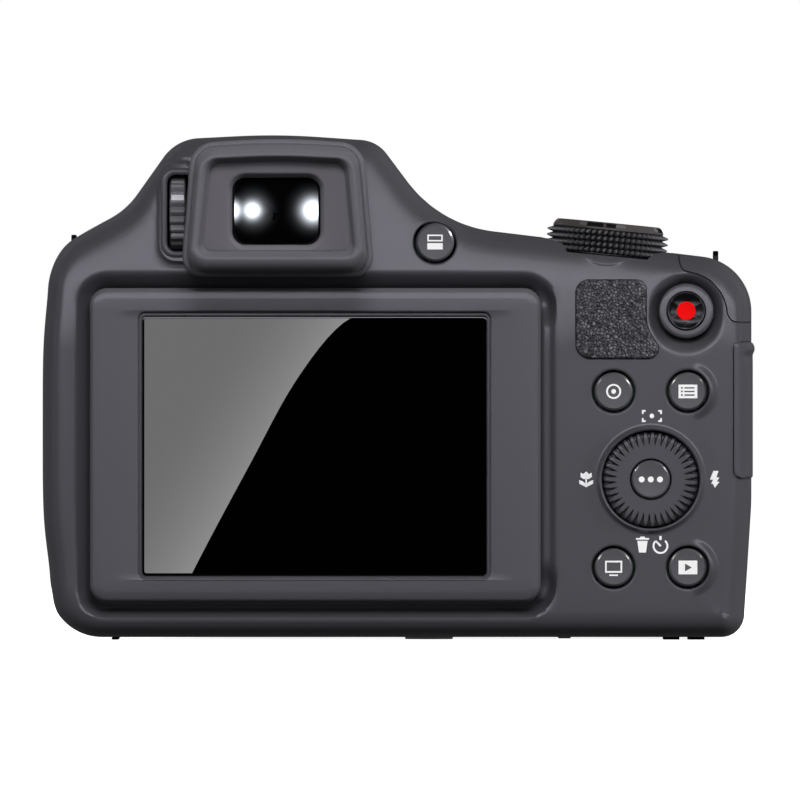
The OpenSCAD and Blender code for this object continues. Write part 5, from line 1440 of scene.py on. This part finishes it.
class CAMERA_OT_lens(bpy.types.Operator):
    """Domed front glass and the ridged baffle round it"""

    bl_idname = "camera_piece.lens"
    bl_label = "Lens front"

    def execute(self, context):
        ball, apex, edge = 60.0, 75.8, 22.95
        rows = [(0, apex - 7), (edge, apex - 7)]
        for part in (1.0, 0.97, 0.9, 0.8, 0.68, 0.54, 0.4, 0.26, 0.12, 0.0):
            r = edge * part
            rows.append((r, apex - ball + math.sqrt(ball * ball - r * r)))
        at = (LENS_X, 0, LENS_Z)
        obj = turned("front_glass", rows, at, steps=128)
        dress(obj, FINISH["lens"], "lens_front", ("front_element",))
        rows = [(26.3, 78.7)]
        for k in range(6):
            r = 26.3 - 0.7 * k
            crest, valley = 79.35 - 0.07 * k, 79.0 - 0.07 * k
            rows += [(r, crest), (r - 0.25, crest), (r - 0.4, valley), (r - 0.6, valley)]
        rows += [(22.1, 78.7), (26.3, 78.7)]
        obj = turned("lens_baffle", rows, at, steps=128)
        dress(obj, FINISH["black"], "lens_front")
        return {"FINISHED"}


class CAMERA_OT_rest(bpy.types.Operator):
    """Covers, grip, lens tubes, top controls and the inner works"""

    bl_idname = "camera_piece.rest"
    bl_label = "Covers and works"

    def execute(self, context):
        for node, body, slot, finish, width in ROUNDED:
            obj = node_copy(node, width)
            if node in ("front_cover", "top_cover"):
                for v in obj.data.vertices:
                    v.co.x += float(bow(v.co.x / MM, v.co.z / MM)) * MM
            if node == "lens_grip_ring":
                axis = Vector((LENS_X, 0, LENS_Z)) * MM
                for v in obj.data.vertices:
                    out = Vector((v.co.x, 0, v.co.z)) - axis
                    if out.length > 35.2 * MM:
                        v.co += out.normalized() * 0.5 * MM
            if node == "strap_lugs":
                for v in obj.data.vertices:
                    if v.co.x < 0:
                        v.co += Vector((-0.2, 0, 0.6)) * MM
            dress(obj, FINISH[finish], body, (node,), angle=32)
        for node, finish in INNER.items():
            data = frame["nodes"][node].data
            data.materials.clear()
            data.materials.append(FINISH[finish])
        return {"FINISHED"}


# Stage


def card(name, points, strength, shade=(1, 1, 1)):
    """A card that only mirrors see."""
    obj = mesh_piece(name, points, [tuple(range(len(points)))])
    material, tree, out = blank(name + "_light")
    lamp = put(tree, "Emission", {"Color": (*shade, 1), "Strength": strength})
    tree.links.new(lamp.outputs[0], out.inputs[0])
    obj.data.materials.append(material)
    for ray in ("camera", "diffuse", "shadow", "transmission", "volume_scatter"):
        setattr(obj, "visible_" + ray, False)
    return obj


def graded(obj, origin, along, reach, ends):
    """Makes the light of a card change along a direction, from one end of the reach to the other."""
    tree = obj.data.materials[0].node_tree
    where = put(tree, "TexCoord").outputs["Object"]
    off = put(tree, "VectorMath", {1: Vector(origin) * MM}, {0: where}, operation="SUBTRACT")
    run = put(tree, "VectorMath", {1: along}, {0: off.outputs[0]}, operation="DOT_PRODUCT")
    part = put(tree, "MapRange", {"From Max": reach * MM}, {"Value": run.outputs["Value"]})
    curve = put(tree, "Math", {1: 2.0}, {0: part.outputs[0]}, operation="POWER")
    level = put(tree, "MapRange", {"To Min": ends[0], "To Max": ends[1]}, {"Value": curve.outputs[0]})
    lamp = next(n for n in tree.nodes if n.type == "EMISSION")
    tree.links.new(level.outputs[0], lamp.inputs["Strength"])


def lamps_card(name, y, lamps, strength):
    """Round lamps in a mirror, each as (x, z, core, reach, share): an even core and a soft halo."""
    reach = max(core * spread for _, _, core, spread, _ in lamps)
    left, right = min(i[0] for i in lamps) - reach, max(i[0] for i in lamps) + reach
    z = lamps[0][1]
    corners = [(left, y, z - reach), (right, y, z - reach), (right, y, z + reach), (left, y, z + reach)]
    obj = card(name, corners, 0.0, (0.9, 0.96, 1.05))
    tree = obj.data.materials[0].node_tree
    where = put(tree, "TexCoord").outputs["Object"]
    total = put(tree, "Value").outputs[0]
    for x, z, core, spread, share in lamps:
        far = put(tree, "VectorMath", {1: Vector((x, y, z)) * MM}, {0: where}, operation="DISTANCE")
        fade = put(tree, "MapRange", {"From Min": core * MM * 0.7, "From Max": core * MM * spread,
                                      "To Min": 1.0, "To Max": 0.0}, {"Value": far.outputs["Value"]})
        curve = put(tree, "Math", {1: 5.0}, {0: fade.outputs[0]}, operation="POWER")
        added = put(tree, "Math", {1: strength * share}, {0: curve.outputs[0], 2: total},
                    operation="MULTIPLY_ADD")
        total = added.outputs[0]
    lamp = next(n for n in tree.nodes if n.type == "EMISSION")
    tree.links.new(total, lamp.inputs["Strength"])
    return obj


def only(lamp, pieces, state="INCLUDE"):
    """Keeps a lamp or mirror card to the pieces it was set up for, or away from them."""
    group = bpy.data.collections.new(lamp.name + "_pieces")
    for piece in pieces:
        group.objects.link(piece)
    for entry in group.collection_objects:
        entry.light_linking.link_state = state
    lamp.light_linking.receiver_collection = group


def softbox(name, place, target, width, height, power):
    """A rectangular lamp turned to a target, not seen itself."""
    data = bpy.data.lights.new(name, "AREA")
    data.shape = "RECTANGLE"
    data.size, data.size_y = width, height
    data.energy = power
    obj = bpy.data.objects.new(name, data)
    bpy.context.scene.collection.objects.link(obj)
    obj.location = place
    obj.rotation_euler = (Vector(target) - Vector(place)).to_track_quat("-Z", "Y").to_euler()
    obj.visible_camera = False
    obj.visible_glossy = False
    return obj


class CAMERA_OT_stage(bpy.types.Operator):
    """Floor, light, mirror cards and the camera that looks at the back"""

    bl_idname = "camera_piece.stage"
    bl_label = "Stage"

    def execute(self, context):
        scene = context.scene
        scene.view_settings.view_transform = "Standard"
        self.floor()
        self.world(scene)
        key = softbox("key_box", (0.05, -1.0, 0.62), (0, -0.02, 0.045), 0.75, 0.5, 6.5)
        softbox("right_box", (1.1, -0.25, 0.2), (0.02, -0.02, 0.045), 0.3, 0.7, 9.0)
        softbox("left_box", (-1.1, -0.25, 0.2), (-0.02, -0.02, 0.045), 0.3, 0.7, 3.8)
        over = softbox("over_box", (0.0, -0.75, 0.95), (0, -0.02, 0.045), 0.6, 0.35, 11.5)
        raised = [bpy.data.objects[name] for name in ("screen_frame", "eyecup_rubber", "eyepiece_plate")]
        only(key, raised, "EXCLUDE")
        only(over, raised)
        softbox("front_box", (-0.7, 1.2, 0.75), (-0.02, 0.02, 0.045), 0.7, 0.5, 15.0)
        softbox("front_fill", (0.95, 0.9, 0.35), (0, 0.02, 0.045), 0.4, 0.7, 7.0)
        gloss = softbox("lens_box", (-0.5, 1.3, 0.85), (-0.02, 0.06, 0.04), 0.5, 0.35, 9.0)
        gloss.visible_glossy = True
        shiny = [o for o in bpy.data.objects if o.name.startswith("lens_") and o.name.endswith("_piece")]
        for name in ("front_glass", "lens_baffle", "grip_rubber_piece", "flash_window_piece"):
            shiny.append(bpy.data.objects[name])
        only(gloss, shiny)
        prints = [o for o in bpy.data.objects if o.name.endswith("_mark") or o.name == "record_dot"]
        only(softbox("print_box", (0.0, -1.1, 0.3), (0, -0.02, 0.045), 0.5, 0.3, 3.6), prints)
        self.cards()
        self.viewer(scene)
        return {"FINISHED"}

    def viewer(self, scene):
        """The camera: a long lens straight behind the body."""
        wide, away_by = sizes().view_width, sizes().view
        data = bpy.data.cameras.new("view")
        data.sensor_width = 36
        data.lens = 36 * away_by / wide
        data.clip_end = 40
        obj = bpy.data.objects.new("view", data)
        scene.collection.objects.link(obj)
        obj.location = (VIEW_AT[0] * MM, BACK * MM - away_by, VIEW_AT[1] * MM)
        obj.rotation_euler = (math.pi / 2, 0, 0)
        scene.camera = obj

    def floor(self):
        """Pale paper that shows white to the camera and keeps the shadow."""
        half = 12000
        corners = [(-half, -half, 0), (half, -half, 0), (half, half, 0), (-half, half, 0)]
        obj = mesh_piece("floor", corners, [(0, 1, 2, 3)])
        material, tree, out = blank("floor_paper")
        path = put(tree, "LightPath")
        dark = put(tree, "BsdfDiffuse", {"Color": (0.1, 0.1, 0.1, 1)})
        pale = put(tree, "BsdfDiffuse", {"Color": (0.85, 0.85, 0.85, 1)})
        where = put(tree, "TexCoord").outputs["Object"]
        far = put(tree, "VectorMath", {}, {0: where}, operation="LENGTH")
        level = put(tree, "MapRange", {"From Min": 0.08, "From Max": 0.4, "To Min": 0.9, "To Max": 1.02},
                    {"Value": far.outputs["Value"]})
        glow = put(tree, "Emission", {}, {"Strength": level.outputs[0]})
        paper = put(tree, "AddShader", {}, {0: pale.outputs[0], 1: glow.outputs[0]})
        seen = path.outputs["Is Camera Ray"]
        mixed = put(tree, "MixShader", {}, {0: seen, 1: dark.outputs[0], 2: paper.outputs[0]})
        tree.links.new(mixed.outputs[0], out.inputs[0])
        obj.data.materials.append(material)
        obj.visible_glossy = False

    def world(self, scene):
        """A faint even fill, white where the camera sees it."""
        world = bpy.data.worlds.new("studio")
        scene.world = world
        world.use_nodes = True
        tree = world.node_tree
        tree.nodes.clear()
        path = put(tree, "LightPath")
        level = put(tree, "MapRange", {"To Min": 0.05, "To Max": 1.0},
                    {"Value": path.outputs["Is Camera Ray"]})
        back = put(tree, "Background", {"Color": (1, 1, 1, 1)}, {"Strength": level.outputs[0]})
        out = put(tree, "OutputWorld")
        tree.links.new(back.outputs[0], out.inputs[0])

    def cards(self):
        """What the glossy pieces mirror: a wall and a dark room, a sky, strips by the keys, and lamps."""
        away_by, centre = 1000.0, VIEW_AT
        grow = (sizes().view / MM + away_by) / (sizes().view / MM)
        y = BACK - away_by

        def seen(px, py):
            """The place on the card that shows at a pixel of the picture."""
            x, z = (px - ORIGIN_PIXEL[0]) * PIXEL, (ORIGIN_PIXEL[1] - py) * PIXEL
            return (centre[0] + (x - centre[0]) * grow, y, centre[1] + (z - centre[1]) * grow)

        edge = smooth_line(WALL_EDGE)
        wall = card("screen_wall", [seen(*p) for p in edge] + [seen(100, 605), seen(100, 300)], 4.1)
        only(wall, [bpy.data.objects["screen_glass"]])
        across, middle = Vector((0.857, 0, -0.516)), Vector(seen(266, 450))
        graded(wall, middle - 20.4 * across, across, 20.4, (3.7, 6.5))
        dark = [(-150, y - 60, -60), (130, y - 60, -60), (130, y - 60, 120), (-150, y - 60, 120)]
        graded(card("dark_room", dark, 0.0), middle + 8.5 * across, -across, 8.5, (0.0, 0.36))
        finder = [bpy.data.objects["eyepiece_glass"]]
        sky = softbox("sky_box", (0, -0.92, 0.248), (0, 0, 0.248), 1.6, 0.117, 4.9)
        sky.data.color = (0.97, 0.94, 1.08)
        sky.visible_glossy, sky.visible_diffuse = True, False
        only(sky, finder, "EXCLUDE")
        keys = [o for o in bpy.data.objects if o.name.endswith("_key")]
        for name, side in (("left", -1), ("right", 1)):
            strip = []
            for turn, rise in ((46.5, 70), (61.5, 70), (61.5, 112), (46.5, 112)):
                a, g = math.radians(turn), math.radians(rise)
                strip.append((39 + side * 600 * math.sin(g) * math.sin(a), BACK - 600 * math.cos(g),
                              28 + 600 * math.sin(g) * math.cos(a)))
            only(card("key_strip_" + name, strip, 22.0), keys)
        x, z = EYEPIECE
        lamps = []
        far = 1024 + 30
        # Lamps in the eyepiece as (turn, half width, spread, share), with the angles in degrees
        lit = ((-12.1, 3.4, 3.1, 1.0), (-22.0, 4.2, 2.6, 1.0), (18.0, 4.7, 3.0, 1.0),
               (-12.1, 2.9, 6.4, 0.2), (18.0, 4.2, 4.8, 0.2))
        for turn, wide, spread, share in lit:
            at, core = (far * math.tan(math.radians(a)) for a in (turn, wide))
            lamps.append((x + at, z + 14, core, spread, share))
        only(lamps_card("finder_lamps", y - 30, lamps, 80.0), finder)


PIECES = (
    CAMERA_OT_back, CAMERA_OT_screen, CAMERA_OT_finder, CAMERA_OT_keys, CAMERA_OT_marks, CAMERA_OT_pads,
    CAMERA_OT_dial, CAMERA_OT_port, CAMERA_OT_lens, CAMERA_OT_rest, CAMERA_OT_stage,
)


class CAMERA_PT_panel(bpy.types.Panel):
    """Lists the camera's pieces"""

    bl_idname = "CAMERA_PT_panel"
    bl_label = "Bridge camera"
    bl_space_type = "VIEW_3D"
    bl_region_type = "UI"
    bl_category = "Camera"

    def draw(self, context):
        for group in (context.scene.camera_sizes, context.scene.camera_colours):
            for name in group.__annotations__:
                self.layout.prop(group, name)
        for piece in PIECES:
            self.layout.operator(piece.bl_idname)


CLASSES = (CameraSizes, CameraColours, *PIECES, CAMERA_PT_panel)


def register():
    for item in CLASSES:
        bpy.utils.register_class(item)
    bpy.types.Scene.camera_sizes = PointerProperty(type=CameraSizes)
    bpy.types.Scene.camera_colours = PointerProperty(type=CameraColours)


def unregister():
    del bpy.types.Scene.camera_colours
    del bpy.types.Scene.camera_sizes
    for item in reversed(CLASSES):
        bpy.utils.unregister_class(item)


def main():
    register()
    make_finishes()
    for piece in PIECES:
        group, name = piece.bl_idname.split(".")
        getattr(getattr(bpy.ops, group), name)()


if __name__ == "__main__":
    main()
